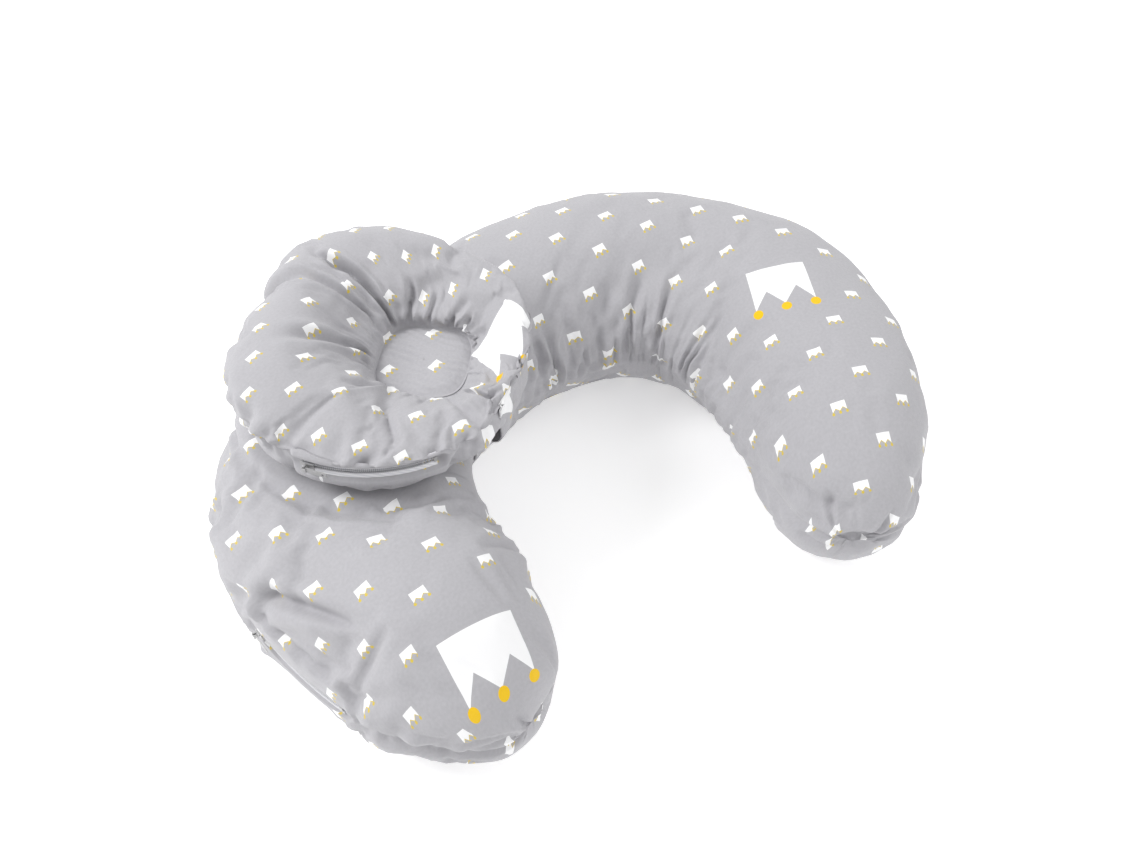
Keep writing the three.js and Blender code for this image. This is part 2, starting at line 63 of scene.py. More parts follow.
RIGHT = dict(
    back=14.0, shoulder_r=140.0, shoulder=87.0, arm_r=414.0, half=504.0, wide=97.0, end=71.0)
WIDEST_AT, ROUNDNESS, UNDERSIDE_ROUNDNESS = 0.55, 0.91, 0.7
HEAD_X, HEAD_Y, HEAD_R, SEAT_Z = -150.0, -68.0, 120.0, 146.0
HEAD_SEAM_Z, HEAD_RISE, PANEL_DROP = 182.0, 42.0, 12.0
PANEL_DX, PANEL_DY, PANEL_R, PANEL_TURN = 28.0, -18.0, 37.0, 50.0
SEAT_FLARE, SEAT_MARGIN = 0.8, 6.0
STRAP_AT, STRAP_WIDTH, STRAP_CINCH, STRAP_RAMP = -106.0, 60.0, 3.5, 12.0
STRAP_GAP, FLAP_DROP = 0.4, 62.0
RIM_JOIN_DEG, RIM_JOIN_SPREAD = -40.0, 24.0
ZIP_SLOT, ZIP_SLOT_RAMP = 4.5, 9.0
MAIN_ZIP_START, MAIN_ZIP_END = -320.0, -401.0
HEAD_ZIP_START, HEAD_ZIP_END = 214.0, 264.0
SLIDER_ROOM = 1.8  # degrees past the zip's ends before its slot narrows

# The head pillow's back panel is a disc of known centre, which ties these millimetres to the
# row frame.
back_low, back_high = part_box("head_back_panel")
SHIFT = np.array([
    (back_low.x + back_high.x) / 2 * 1000 - HEAD_X,
    back_high.y * 1000 - HEAD_Y - HEAD_R,
    0.0,
])


# ---------------------------------------------------------------- arithmetic

def smooth(t):
    """0 below 0, 1 above 1 and 3t^2 - 2t^3 between."""
    t = np.clip(t, 0, 1)
    return t * t * (3 - 2 * t)


def signed_power(v, p):
    """|v| to the power p, with v's sign."""
    return np.sign(v) * np.abs(v) ** p


def bump(x, width):
    """Bell of height 1 at 0 that has fallen to 1/e at width."""
    return np.exp(-((x / width) ** 2))


def turn_gap(a, b):
    """Signed angle from b to a, in degrees between -180 and 180."""
    return (a - b + 180) % 360 - 180


def waves(points, length, seed, count=9):
    """Smooth noise near -1 to 1: the sum of sine waves of about one length in random directions,
    over the root of their count."""
    rng = np.random.default_rng(seed)
    total = np.zeros(points.shape[:-1])
    for _ in range(count):
        way = rng.normal(size=points.shape[-1])
        way *= 2 * math.pi / (length * rng.uniform(0.7, 1.4)) / np.linalg.norm(way)
        total += np.sin(points @ way + rng.uniform(0, 6.28))
    return total / math.sqrt(count)


def grid_normals(points, wrap_columns):
    """Unit normals of a grid: cross product of its central differences along rows and columns."""
    along = np.gradient(points, axis=0)
    if wrap_columns:
        around = (np.roll(points, -1, 1) - np.roll(points, 1, 1)) / 2
    else:
        around = np.gradient(points, axis=1)
    n = np.cross(along, around)
    size = np.linalg.norm(n, axis=-1, keepdims=True)
    return n / np.maximum(size, 1e-6)


def doubled(values, axis, wrap):
    """Grid with a value added half-way between neighbours, on a cubic through the four nearest."""
    v = np.moveaxis(values, axis, 0)
    before = np.roll(v, 1, 0)
    after = np.roll(v, -1, 0)
    beyond = np.roll(v, -2, 0)
    if not wrap:
        before[0] = v[0]
        after[-1] = v[-1]
        beyond[-2:] = v[-1]
    half = (9 * (v + after) - before - beyond) / 16
    both = np.stack([v, half], 1).reshape((-1,) + v.shape[1:])
    if not wrap:
        both = both[:-1]
    return np.moveaxis(both, 0, axis)


def fold(along, across, start, end, depth, width, bow=0.0, to_seam=False):
    """Height of one fold: a valley of bell section with a low ridge on each side, from start to
    end. It eases in over a third of its length, and out likewise unless it runs into a seam."""
    start, end = np.array(start, float), np.array(end, float)
    way = end - start
    size = np.hypot(*way)
    way = way / size
    t = ((along - start[0]) * way[0] + (across - start[1]) * way[1]) / size
    off = (across - start[1]) * way[0] - (along - start[0]) * way[1]
    off = off - bow * 4 * np.clip(t, 0, 1) * (1 - np.clip(t, 0, 1))
    ease = smooth(t / 0.35)
    if to_seam:
        ease = ease * smooth((1.15 - t) / 0.15)
    else:
        ease = ease * smooth((1 - t) / 0.35)
    w = width * (0.65 + 0.35 * np.clip(1 - t, 0, 1))
    return depth * ease * (0.42 * bump(np.abs(off) - 2.0 * w, 1.1 * w) - bump(off, w))


def gathers(along, across, places, inward, seed, reach, depth, width):
    """Heights of many small pleats that start at a seam, at places along it, and run inward."""
    rng = np.random.default_rng(seed)
    total = np.zeros_like(along)
    for at, seam in places:
        length = rng.uniform(*reach)
        lean = rng.normal() * 0.16 * length
        total += fold(along, across, (at + lean, seam + inward * length), (at, seam - inward * 3),
                      rng.uniform(*depth), rng.uniform(*width), rng.normal() * 2, True)
    return total


# ---------------------------------------------------------------- main pillow

def walk(length, side, opened):
    """Place and heading after a length along three tangent arcs. opened degrees are taken off the
    shoulder, whose length stays."""
    shoulder_reach = side["shoulder_r"] * math.radians(side["shoulder"])
    shoulder_turn = math.radians(side["shoulder"] - opened)
    arcs = [
        (BACK_RADIUS, BACK_RADIUS * math.radians(side["back"])),
        (shoulder_reach / shoulder_turn, shoulder_reach),
        (side["arm_r"], np.inf),
    ]
    x = np.zeros_like(length)
    y = np.zeros_like(length)
    heading = np.zeros_like(length)
    rest = length.copy()
    for radius, reach in arcs:
        run = np.minimum(rest, reach)
        end = heading + run / radius
        x += radius * (np.sin(end) - np.sin(heading))
        y += radius * (np.cos(end) - np.cos(heading))
        heading = end
        rest = rest - run
    return x, y, heading


def centre_at(s, opened=(0.0, 0.0)):
    """Point and outward direction on the centreline, s from the back's middle, left negative."""
    lx, ly, lh = walk(np.maximum(-s, 0.0), LEFT, opened[0])
    rx, ry, rh = walk(np.maximum(s, 0.0), RIGHT, opened[1])
    left = s < 0
    point = np.stack([np.where(left, -lx, rx), np.where(left, ly, ry)], -1)
    out = np.stack([
        np.where(left, -np.sin(lh), np.sin(rh)),
        np.where(left, np.cos(lh), np.cos(rh)),
    ], -1)
    return point, out


def half_width_at(s):
    """Half of the pillow's width: swells from the back to the shoulder and narrows to the end."""
    left = s < 0
    along = np.abs(s) / np.where(left, LEFT["half"], RIGHT["half"])
    wide = np.where(left, LEFT["wide"], RIGHT["wide"])
    end = np.where(left, LEFT["end"], RIGHT["end"])
    shoulder = BACK_HALF_WIDTH + (wide - BACK_HALF_WIDTH) * smooth(along / WIDEST_AT)
    return shoulder + (end - wide) * smooth((along - WIDEST_AT) / (1 - WIDEST_AT))


def cinch_at(s):
    """Depth that the strap draws the cover in, full under the band and eased out beside it."""
    return STRAP_CINCH * (1 - smooth((np.abs(s - STRAP_AT) - STRAP_WIDTH / 2 - 1.5) / STRAP_RAMP))


def main_slot_at(s):
    """1 along the main zip, falling to 0 past its ends."""
    return 1 - smooth(np.maximum(s - MAIN_ZIP_START, MAIN_ZIP_END - s) / ZIP_SLOT_RAMP)


def pressed_top(x, y):
    """Height that the head pillow presses the main pillow down to, flaring up outside it."""
    reach = np.hypot(x - HEAD_X, y - HEAD_Y) - HEAD_R - SEAT_MARGIN
    return SEAT_Z + SEAT_FLARE * np.maximum(0, reach)


def pillow_surface(s, turn, side, angle, inset, cut_in=0.0, cut_z=0.0):
    """Points of the cover. The section's half-width goes with cos(angle) and its height with
    sin(angle), each to a power just under 1; past an arm's end both shrink with cos(turn) while
    the section moves on by sin(turn). cut_in and cut_z draw the zip's opening inwards and apart."""
    depth = inset + cinch_at(s) + cut_in * main_slot_at(s)
    at = s + np.sign(s) * (END_CAP - depth) * np.sin(turn)
    point, out = centre_at(at)
    shrink = np.cos(turn)
    lateral = (half_width_at(at) - depth) * shrink * signed_power(np.cos(angle), ROUNDNESS)
    xy = point + out * lateral[..., None]
    lift = np.abs(np.sin(angle)) ** ROUNDNESS * shrink
    edge = cut_z * main_slot_at(s)
    top = SEAM_Z + edge + (HEIGHT - SEAM_Z - edge - depth) * lift
    top = np.minimum(top, pressed_top(xy[..., 0], xy[..., 1]) - depth)
    low = SEAM_Z - edge - (SEAM_Z + FLAT_SINK - edge - depth) * lift
    z = np.where(side > 0, top, np.maximum(low, depth))
    return np.concatenate([xy, z[..., None]], -1)


# Rows: round the left end, along the pillow and round the right end. Columns: from the outer
# seam over the top to the inner seam, and back underneath. Every other one makes the coarse grid.
END_ROWS, BODY_ROWS, WIDE_COLUMNS = 40, 261, 87
# The narrow columns at the zip: their angles, and how far the zip's opening draws the first
# three in and apart.
EDGE_ANGLES = [0.0, 0.02, 0.045, 0.075]
EDGE_IN, EDGE_APART = [7.0, 6.2, 0.4], [0.0, 3.7, ZIP_SLOT]


def pillow_rows():
    """Distance s and end turn of each row, both as columns of numbers. The turn falls evenly from
    a quarter turn to 0 round each end, and s grows evenly between the ends."""
    ends = np.linspace(math.pi / 2, 0, END_ROWS + 1)[:-1]
    left = -(LEFT["half"] - END_CAP)
    right = RIGHT["half"] - END_CAP
    body = np.linspace(left, right, BODY_ROWS)
    s = np.concatenate([np.full(END_ROWS, left), body, np.full(END_ROWS, right)])
    turn = np.concatenate([ends, np.zeros(BODY_ROWS), ends[::-1]])
    return s[:, None], turn[:, None]


def zip_opening(columns, first=0):
    """How far the zip's opening draws each column in and apart; the columns start at number
    first, counted from the seam."""
    cut_in = np.zeros(first + columns)
    cut_z = np.full(first + columns, ZIP_SLOT)
    cut_in[:3], cut_z[:3] = EDGE_IN, EDGE_APART
    return cut_in[first:], cut_z[first:]


def round_both(values):
    """A row of the upper panel's column values, followed by the same ones back underneath."""
    return np.concatenate([values, values[-2:0:-1]])[None, :]


HALF = np.concatenate([EDGE_ANGLES, np.linspace(0.11, math.pi, WIDE_COLUMNS)])
COLUMNS = round_both(HALF)
SIDES = np.concatenate([np.ones(len(HALF)), -np.ones(len(HALF) - 2)])[None, :]
CUT_IN, CUT_Z = [round_both(cut) for cut in zip_opening(len(HALF))]
# How the U panel lay on the cloth: degrees more open at each shoulder, and the share of its
# width that the print keeps.
CUT_OPEN = (4.0, 19.0)
CUT_ACROSS = 0.92


def arc_from_crest(points, crest):
    """Length along each row's section from its crest column, positive before it."""
    step = np.linalg.norm(np.diff(points, axis=1), axis=-1)
    run = np.concatenate([np.zeros((len(points), 1)), np.cumsum(step, 1)], 1)
    return run[:, crest][:, None] - run


def cloth_of_half(points, s, turn):
    """Place on the flat cloth of each point of one panel, in millimetres: the panel is a U cut
    from one length of cloth, a little more open than it lies, and the section is unrolled."""
    crest = int(np.argmin(np.abs(HALF - math.pi / 2)))
    across = arc_from_crest(points, crest)
    along = s + np.sign(s) * END_CAP * turn
    point, out = centre_at(np.broadcast_to(along, across.shape), CUT_OPEN)
    return point + out * (across * CUT_ACROSS)[..., None]


# ---------------------------------------------------------------- head pillow

def head_slot_at(deg):
    """1 along the head pillow's zip, falling to 0 past its ends."""
    ramp = math.degrees(ZIP_SLOT_RAMP / HEAD_R)
    middle = (HEAD_ZIP_START + HEAD_ZIP_END) / 2
    half = (HEAD_ZIP_END - HEAD_ZIP_START) / 2 + SLIDER_ROOM
    return 1 - smooth((np.abs(turn_gap(deg, middle)) - half) / ramp)


def panel_edge(deg, inset=0.0):
    """Outline of the centre panel: a rounded square, where |cos|^3.4 + |sin|^3.4 is constant."""
    t = np.radians(deg - PANEL_TURN)
    square = (np.abs(np.cos(t)) ** 3.4 + np.abs(np.sin(t)) ** 3.4) ** (-1 / 3.4)
    r = PANEL_R * square + inset
    middle = np.array([HEAD_X + PANEL_DX, HEAD_Y + PANEL_DY])
    return middle + r[..., None] * np.stack([np.cos(np.radians(deg)), np.sin(np.radians(deg))], -1)


def rim_reach(deg):
    """Radius of the rim: drawn in at the strap and at one notch, pushed out in rounded lobes. Along
    the zip it is the plain circle."""
    r = HEAD_R - 1.5
    for at, width, grow in HEAD_LOBES:
        r = r + grow * bump(turn_gap(deg, at), width)
    near_zip = head_slot_at(deg)
    return r * (1 - near_zip) + HEAD_R * near_zip


# Lobes of the rim: direction and half-width in degrees, growth in millimetres.
HEAD_LOBES = [
    (126, 12, -13), (100, 16, 5), (62, 20, 5), (30, 9, -4), (-2, 16, 1), (-44, 20, -3),
    (-78, 9, 3), (-105, 10, 4), (196, 12, 4), (172, 9, 6), (148, 9, -5), (208, 5, -4),
]
# The crest's rise above the usual, likewise; the far side stands higher.
HEAD_CRESTS = [
    (82, 40, 9), (12, 26, -4), (-38, 26, -16), (-88, 32, -25), (-132, 24, -10), (160, 30, 4),
]
PANEL_LIFT = 4.5  # how far the filling under the centre panel lifts it


def head_surface(deg, side, turn, cut_in=0.0, cut_z=0.0):
    """Points of the head pillow's ring: from the rim (turn 0) over a crest to the centre panel
    (turn pi). Plan place goes with cos(turn) between rim and panel, height with sin(turn)."""
    slot = head_slot_at(deg)
    rim_r = rim_reach(deg) - cut_in * slot
    rad = np.radians(deg)
    rim = np.array([HEAD_X, HEAD_Y]) + rim_r[..., None] * np.stack([np.cos(rad), np.sin(rad)], -1)
    panel = panel_edge(deg)
    c = np.cos(turn)
    xy = (rim + panel) / 2 + (rim - panel) / 2 * c[..., None]
    edge = cut_z * slot * np.maximum(0, c)
    base = HEAD_SEAM_Z - PANEL_DROP * (1 - c) / 2
    base = base + PANEL_LIFT * ((1 - c) / 2) ** 2 * (side > 0)
    rise = HEAD_RISE
    for at, width, grow in HEAD_CRESTS:
        rise = rise + grow * bump(turn_gap(deg, at), width)
    top = base + edge + (rise - edge) * np.abs(np.sin(turn)) ** ROUNDNESS
    drop = base - edge - (SEAT_Z + 0.3)
    low = base - edge - drop * np.sin(np.minimum(turn, math.pi / 2)) ** UNDERSIDE_ROUNDNESS
    return np.concatenate([xy, np.where(side > 0, top, low)[..., None]], -1)


# ---------------------------------------------------------------- meshes

def make_mesh(name, points, faces, face_cloth, material):
    """Mesh object from points in millimetres about the back, and lists of faces with each corner's
    cloth place. Faces that point inwards, where the enclosed volume comes out negative, are
    turned."""
    volume = 0.0
    for f in faces:
        a, b, c = points[f[:, 0]], points[f[:, 1]], points[f[:, 2]]
        volume += np.einsum("ij,ij->", a, np.cross(b, c))
        if f.shape[1] == 4:
            volume += np.einsum("ij,ij->", a, np.cross(c, points[f[:, 3]]))
    if volume < 0:
        faces = [f[:, ::-1] for f in faces]
        face_cloth = [c[:, ::-1] for c in face_cloth]
    mesh = bpy.data.meshes.new(name)
    corners = [row for f in faces for row in f.tolist()]
    mesh.from_pydata(((points + SHIFT) * 0.001).tolist(), [], corners)
    layer = mesh.uv_layers.new(name="cloth_mm")
    flat = np.concatenate([np.asarray(c, float).reshape(-1, 2) for c in face_cloth])
    layer.data.foreach_set("uv", flat.astype(np.float32).ravel())
    mesh.polygons.foreach_set("use_smooth", np.ones(len(mesh.polygons), bool))
    mesh.materials.append(material)
    mesh.update()
    piece = bpy.data.objects.new(name, mesh)
    bpy.context.scene.collection.objects.link(piece)
    return piece


def tube_faces(rows, columns):
    """Faces of a grid whose columns close on themselves and whose first and last rows are single
    points, with a fan of triangles at each. Returns each face's vertex numbers and its (row,
    column) corners, quads first."""
    def number(i, j):
        """Vertex of row i and column j: each end row is one vertex, and the rest run on in rows."""
        inner = np.where(i == 0, 0, 1 + (i - 1) * columns + j % columns)
        return np.where(i == rows - 1, 1 + (rows - 2) * columns, inner)

    i, j = np.meshgrid(np.arange(1, rows - 2), np.arange(columns), indexing="ij")
    i, j = i.ravel(), j.ravel()
    quads = np.stack([np.stack([i, j], -1), np.stack([i + 1, j], -1),
                      np.stack([i + 1, j + 1], -1), np.stack([i, j + 1], -1)], 1)
    j = np.arange(columns)
    first, second = np.zeros_like(j), np.ones_like(j)
    last, prior = np.full_like(j, rows - 1), np.full_like(j, rows - 2)
    start_fan = np.stack([np.stack([first, j], -1), np.stack([second, j], -1),
                          np.stack([second, j + 1], -1)], 1)
    end_fan = np.stack([np.stack([prior, j], -1), np.stack([last, j], -1),
                        np.stack([prior, j + 1], -1)], 1)
    corners = [quads, start_fan, end_fan]
    return [number(c[..., 0], c[..., 1]) for c in corners], corners


def pole_points(grid):
    """The grid's points with each end row as one point, in the order tube_faces numbers them."""
    return np.concatenate([grid[:1, 0], grid[1:-1].reshape(-1, 3), grid[-1:, 0]])


def tube_piece(name, grid, cloth_upper, cloth_lower, material):
    """Closed skin of two panels that meet at columns 0 and half-way, each on its own cloth."""
    rows, columns = grid.shape[:2]
    half = columns // 2
    lower = cloth_lower[:, ::-1]
    faces, corners = tube_faces(rows, columns)
    cloth_list = []
    for corner in corners:
        row, column = corner[..., 0], corner[..., 1]
        under = column.min(1, keepdims=True) >= half
        up = cloth_upper[row, np.clip(column, 0, half)]
        down = lower[row, np.clip(column - half, 0, half)]
        cloth_list.append(np.where(under[..., None], down, up))
    return make_mesh(name, pole_points(grid), faces, cloth_list, material)


def slab_piece(name, outer, inner, cloth, material, wrap=False):
    """Closed body between two grids of points, with walls along every open border. wrap joins the
    last column to the first; cloth then has one column more than the grids."""
    rows, columns = outer.shape[:2]
    last = columns if wrap else columns - 1
    i, j = [k.ravel() for k in np.meshgrid(np.arange(rows - 1), np.arange(last), indexing="ij")]
    corner = np.stack([np.stack([i, j], -1), np.stack([i + 1, j], -1),
                       np.stack([i + 1, j + 1], -1), np.stack([i, j + 1], -1)], 1)
    number = corner[..., 0] * columns + corner[..., 1] % columns
    flat = cloth[corner[..., 0], corner[..., 1]]
    faces = [number, number[:, ::-1] + rows * columns]
    cloths = [flat, flat[:, ::-1]]

    def wall(a, b, turned_over):
        """Quads between a border on the outer grid and the same border on the inner one."""
        first, second = [k[..., 0] * columns + k[..., 1] % columns for k in (a, b)]
        under = rows * columns
        quad = np.stack([second, first, first + under, second + under], -1)
        cloth_a, cloth_b = cloth[tuple(a.T)], cloth[tuple(b.T)]
        place = np.stack([cloth_b, cloth_a, cloth_a, cloth_b], 1)
        faces.append(quad[:, ::-1] if turned_over else quad)
        cloths.append(place[:, ::-1] if turned_over else place)

    j = np.arange(last)
    for row, over in ((0, True), (rows - 1, False)):
        r = np.full_like(j, row)
        wall(np.stack([r, j], -1), np.stack([r, j + 1], -1), not over)
    if not wrap:
        i = np.arange(rows - 1)
        for column, over in ((0, False), (columns - 1, True)):
            c = np.full_like(i, column)
            wall(np.stack([i, c], -1), np.stack([i + 1, c], -1), not over)
    points = np.concatenate([outer.reshape(-1, 3), inner.reshape(-1, 3)])
    return make_mesh(name, points, faces, cloths, material)


# ---------------------------------------------------------------- cloth simulation

FILLING_FRAMES, FILLING_PRESSURE, WEIGHT_LEVELS = 22, 4.0, 20


def puffed(grid, gather, hold, more_cloth, gathered, cap, inward=False):
    """How far each grid point moves when the cover is filled: a cloth with more_cloth spare
    length everywhere, drawn up by gathered where gather is 1 and held where hold is 1. No point
    moves further than cap."""
    rows, columns = grid.shape[:2]
    faces, _ = tube_faces(rows, columns)
    points = pole_points(grid)
    order = -1 if inward else 1
    corners = [f[::order] for part in faces for f in part.tolist()]
    mesh = bpy.data.meshes.new("filling_try")
    mesh.from_pydata((points * 0.001).tolist(), [], corners)
    shell = bpy.data.objects.new("filling_try", mesh)
    bpy.context.scene.collection.objects.link(shell)

    def weights(name, values):
        """Vertex group whose weight is each point's value, rounded to one of twenty levels."""
        group = shell.vertex_groups.new(name=name)
        flat = pole_points(np.repeat(values[..., None], 3, -1))[:, 0]
        levels = np.round(np.clip(flat, 0, 1) * WEIGHT_LEVELS).astype(int)
        for level in range(1, WEIGHT_LEVELS + 1):
            chosen = np.nonzero(levels == level)[0].tolist()
            if chosen:
                group.add(chosen, level / WEIGHT_LEVELS, "REPLACE")

    weights("gather", gather)
    weights("hold", hold)
    cloth = shell.modifiers.new("filling", "CLOTH")
    settings = dict(
        quality=6, mass=0.12, tension_stiffness=25, compression_stiffness=25, shear_stiffness=8,
        bending_stiffness=0.05, air_damping=2.0, use_pressure=True,
        uniform_pressure_force=FILLING_PRESSURE, vertex_group_mass="hold",
        vertex_group_shrink="gather", shrink_min=-more_cloth, shrink_max=gathered)
    for key, value in settings.items():
        setattr(cloth.settings, key, value)
    cloth.settings.effector_weights.gravity = 0
    cloth.collision_settings.use_collision = False
    cloth.point_cache.frame_end = FILLING_FRAMES
    scene = bpy.context.scene
    for number in range(1, FILLING_FRAMES + 1):
        scene.frame_set(number)
    result = shell.evaluated_get(bpy.context.evaluated_depsgraph_get())
    flat = np.zeros(len(points) * 3, np.float32)
    result.data.vertices.foreach_get("co", flat)
    moved = flat.reshape(-1, 3) * 1000 - points
    scene.frame_set(1)
    bpy.data.objects.remove(shell)
    bpy.data.meshes.remove(mesh)
    size = np.linalg.norm(moved, axis=-1, keepdims=True)
    moved = moved * np.minimum(1, cap / np.maximum(size, 1e-6))
    full = np.zeros((rows, columns, 3))
    full[0], full[-1] = moved[0], moved[-1]
    full[1:-1] = moved[1:-1].reshape(-1, columns, 3)
    return full


# ---------------------------------------------------------------- materials

def linear(text):
    """Linear colour from an sRGB hex value."""
    c = [int(text[k:k + 2], 16) / 255 for k in (1, 3, 5)]
    return tuple(v / 12.92 if v <= 0.04045 else ((v + 0.055) / 1.055) ** 2.4 for v in c) + (1.0,)


def new_material(name):
    """Empty node material with its output node."""
    material = bpy.data.materials.new(name)
    material.use_nodes = True
    material.node_tree.nodes.clear()
    return material, material.node_tree


def add(tree, kind, settings=None, inputs=()):
    """Adds a node. inputs maps a socket's name or number to a value, to another node's socket, or
    to a node, which stands for its first output; a tuple fills the first sockets in turn."""
    node = tree.nodes.new(kind)
    for key, value in (settings or {}).items():
        setattr(node, key, value)
    for key, value in inputs.items() if isinstance(inputs, dict) else enumerate(inputs):
        if isinstance(value, bpy.types.Node):
            value = value.outputs[0]
        if isinstance(value, bpy.types.NodeSocket):
            tree.links.new(value, node.inputs[key])
        else:
            node.inputs[key].default_value = value
    return node


MATH, MIX, PRINCIPLED = "ShaderNodeMath", "ShaderNodeMix", "ShaderNodeBsdfPrincipled"
PLUS, MINUS, TIMES, OVER, TIMES_PLUS, BELOW, ABOVE, LARGER, FRACTION = [
    {"operation": word} for word in (
        "ADD", "SUBTRACT", "MULTIPLY", "DIVIDE", "MULTIPLY_ADD", "LESS_THAN", "GREATER_THAN",
        "MAXIMUM", "FRACT")]
COLOURS = {"data_type": "RGBA"}


def crown(tree, across, down, width, height, outlined):
    """Masks (white, yellow) of one printed crown: a straight edge with a zigzag of three points
    under it and a ball on each point, whose middle lies height below the straight edge. across is
    from its middle and down from its straight edge."""
    valley, tip = height * 0.56, height * (0.84 if outlined else 0.93)
    ball = width * (0.1 if outlined else 0.085)
    side = add(tree, MATH, {"operation": "ABSOLUTE"}, (across,))
    zigzag = add(tree, MATH, {"operation": "PINGPONG"}, (side, width / 4))
    share = add(tree, MATH, OVER, (zigzag, width / 4))
    edge = add(tree, MATH, TIMES_PLUS, (share, valley - tip, tip))
    between_sides = add(tree, MATH, BELOW, (side, width / 2))
    past_straight = add(tree, MATH, ABOVE, (down, 0.0))
    inside = add(tree, MATH, TIMES, (between_sides, past_straight))
    before_zigzag = add(tree, MATH, BELOW, (down, edge))
    white = add(tree, MATH, TIMES, (inside, before_zigzag))
    low = add(tree, MATH, MINUS, (down, height))
    low_squared = add(tree, MATH, TIMES, (low, low))
    balls = []
    for sideways in (side, add(tree, MATH, MINUS, (side, width / 2 - ball * 0.2))):
        distance_squared = add(tree, MATH, TIMES_PLUS, (sideways, sideways, low_squared))
        balls.append(add(tree, MATH, BELOW, (distance_squared, ball * ball)))
    yellow = add(tree, MATH, LARGER, balls)
    if outlined:
        outline_edge = add(tree, MATH, PLUS, (edge, width * 0.055))
        before_outline = add(tree, MATH, BELOW, (down, outline_edge))
        past_zigzag = add(tree, MATH, ABOVE, (down, edge))
        band = add(tree, MATH, TIMES, (before_outline, past_zigzag))
        outline = add(tree, MATH, TIMES, (inside, band))
        yellow = add(tree, MATH, LARGER, (yellow, outline))
    return white, yellow


def turned(tree, u, v, place):
    """Coordinates across and down of a crown at place (u, v, degrees): the cloth's u and v from
    there, turned by the degrees."""
    u0, v0, degrees = place
    c, s = math.cos(math.radians(degrees)), math.sin(math.radians(degrees))
    du = add(tree, MATH, MINUS, (u, u0))
    dv = add(tree, MATH, MINUS, (v, v0))
    du_across = add(tree, MATH, TIMES, (du, c))
    du_down = add(tree, MATH, TIMES, (du, s))
    across = add(tree, MATH, TIMES_PLUS, (dv, s, du_across))
    down = add(tree, MATH, TIMES_PLUS, (dv, -c, du_down))
    return across, down


# The print, in millimetres: rows of small crowns, their step along a row, and their size. A large
# crown has no small one nearer to its middle than CLEAR_ROUND.
ROW_PITCH, CROWN_PITCH = 27.5, 51.5
CROWN_WIDE, CROWN_HIGH, CROWN_TOP = 10.8, 8.4, 0.66 * ROW_PITCH
CLEAR_ROUND = 46.0
GREY_GROUND, PRINT_WHITE, SMALL_YELLOW, LARGE_YELLOW = "#b1b0b4", "#f6f6f7", "#d4bd52", "#efc31a"


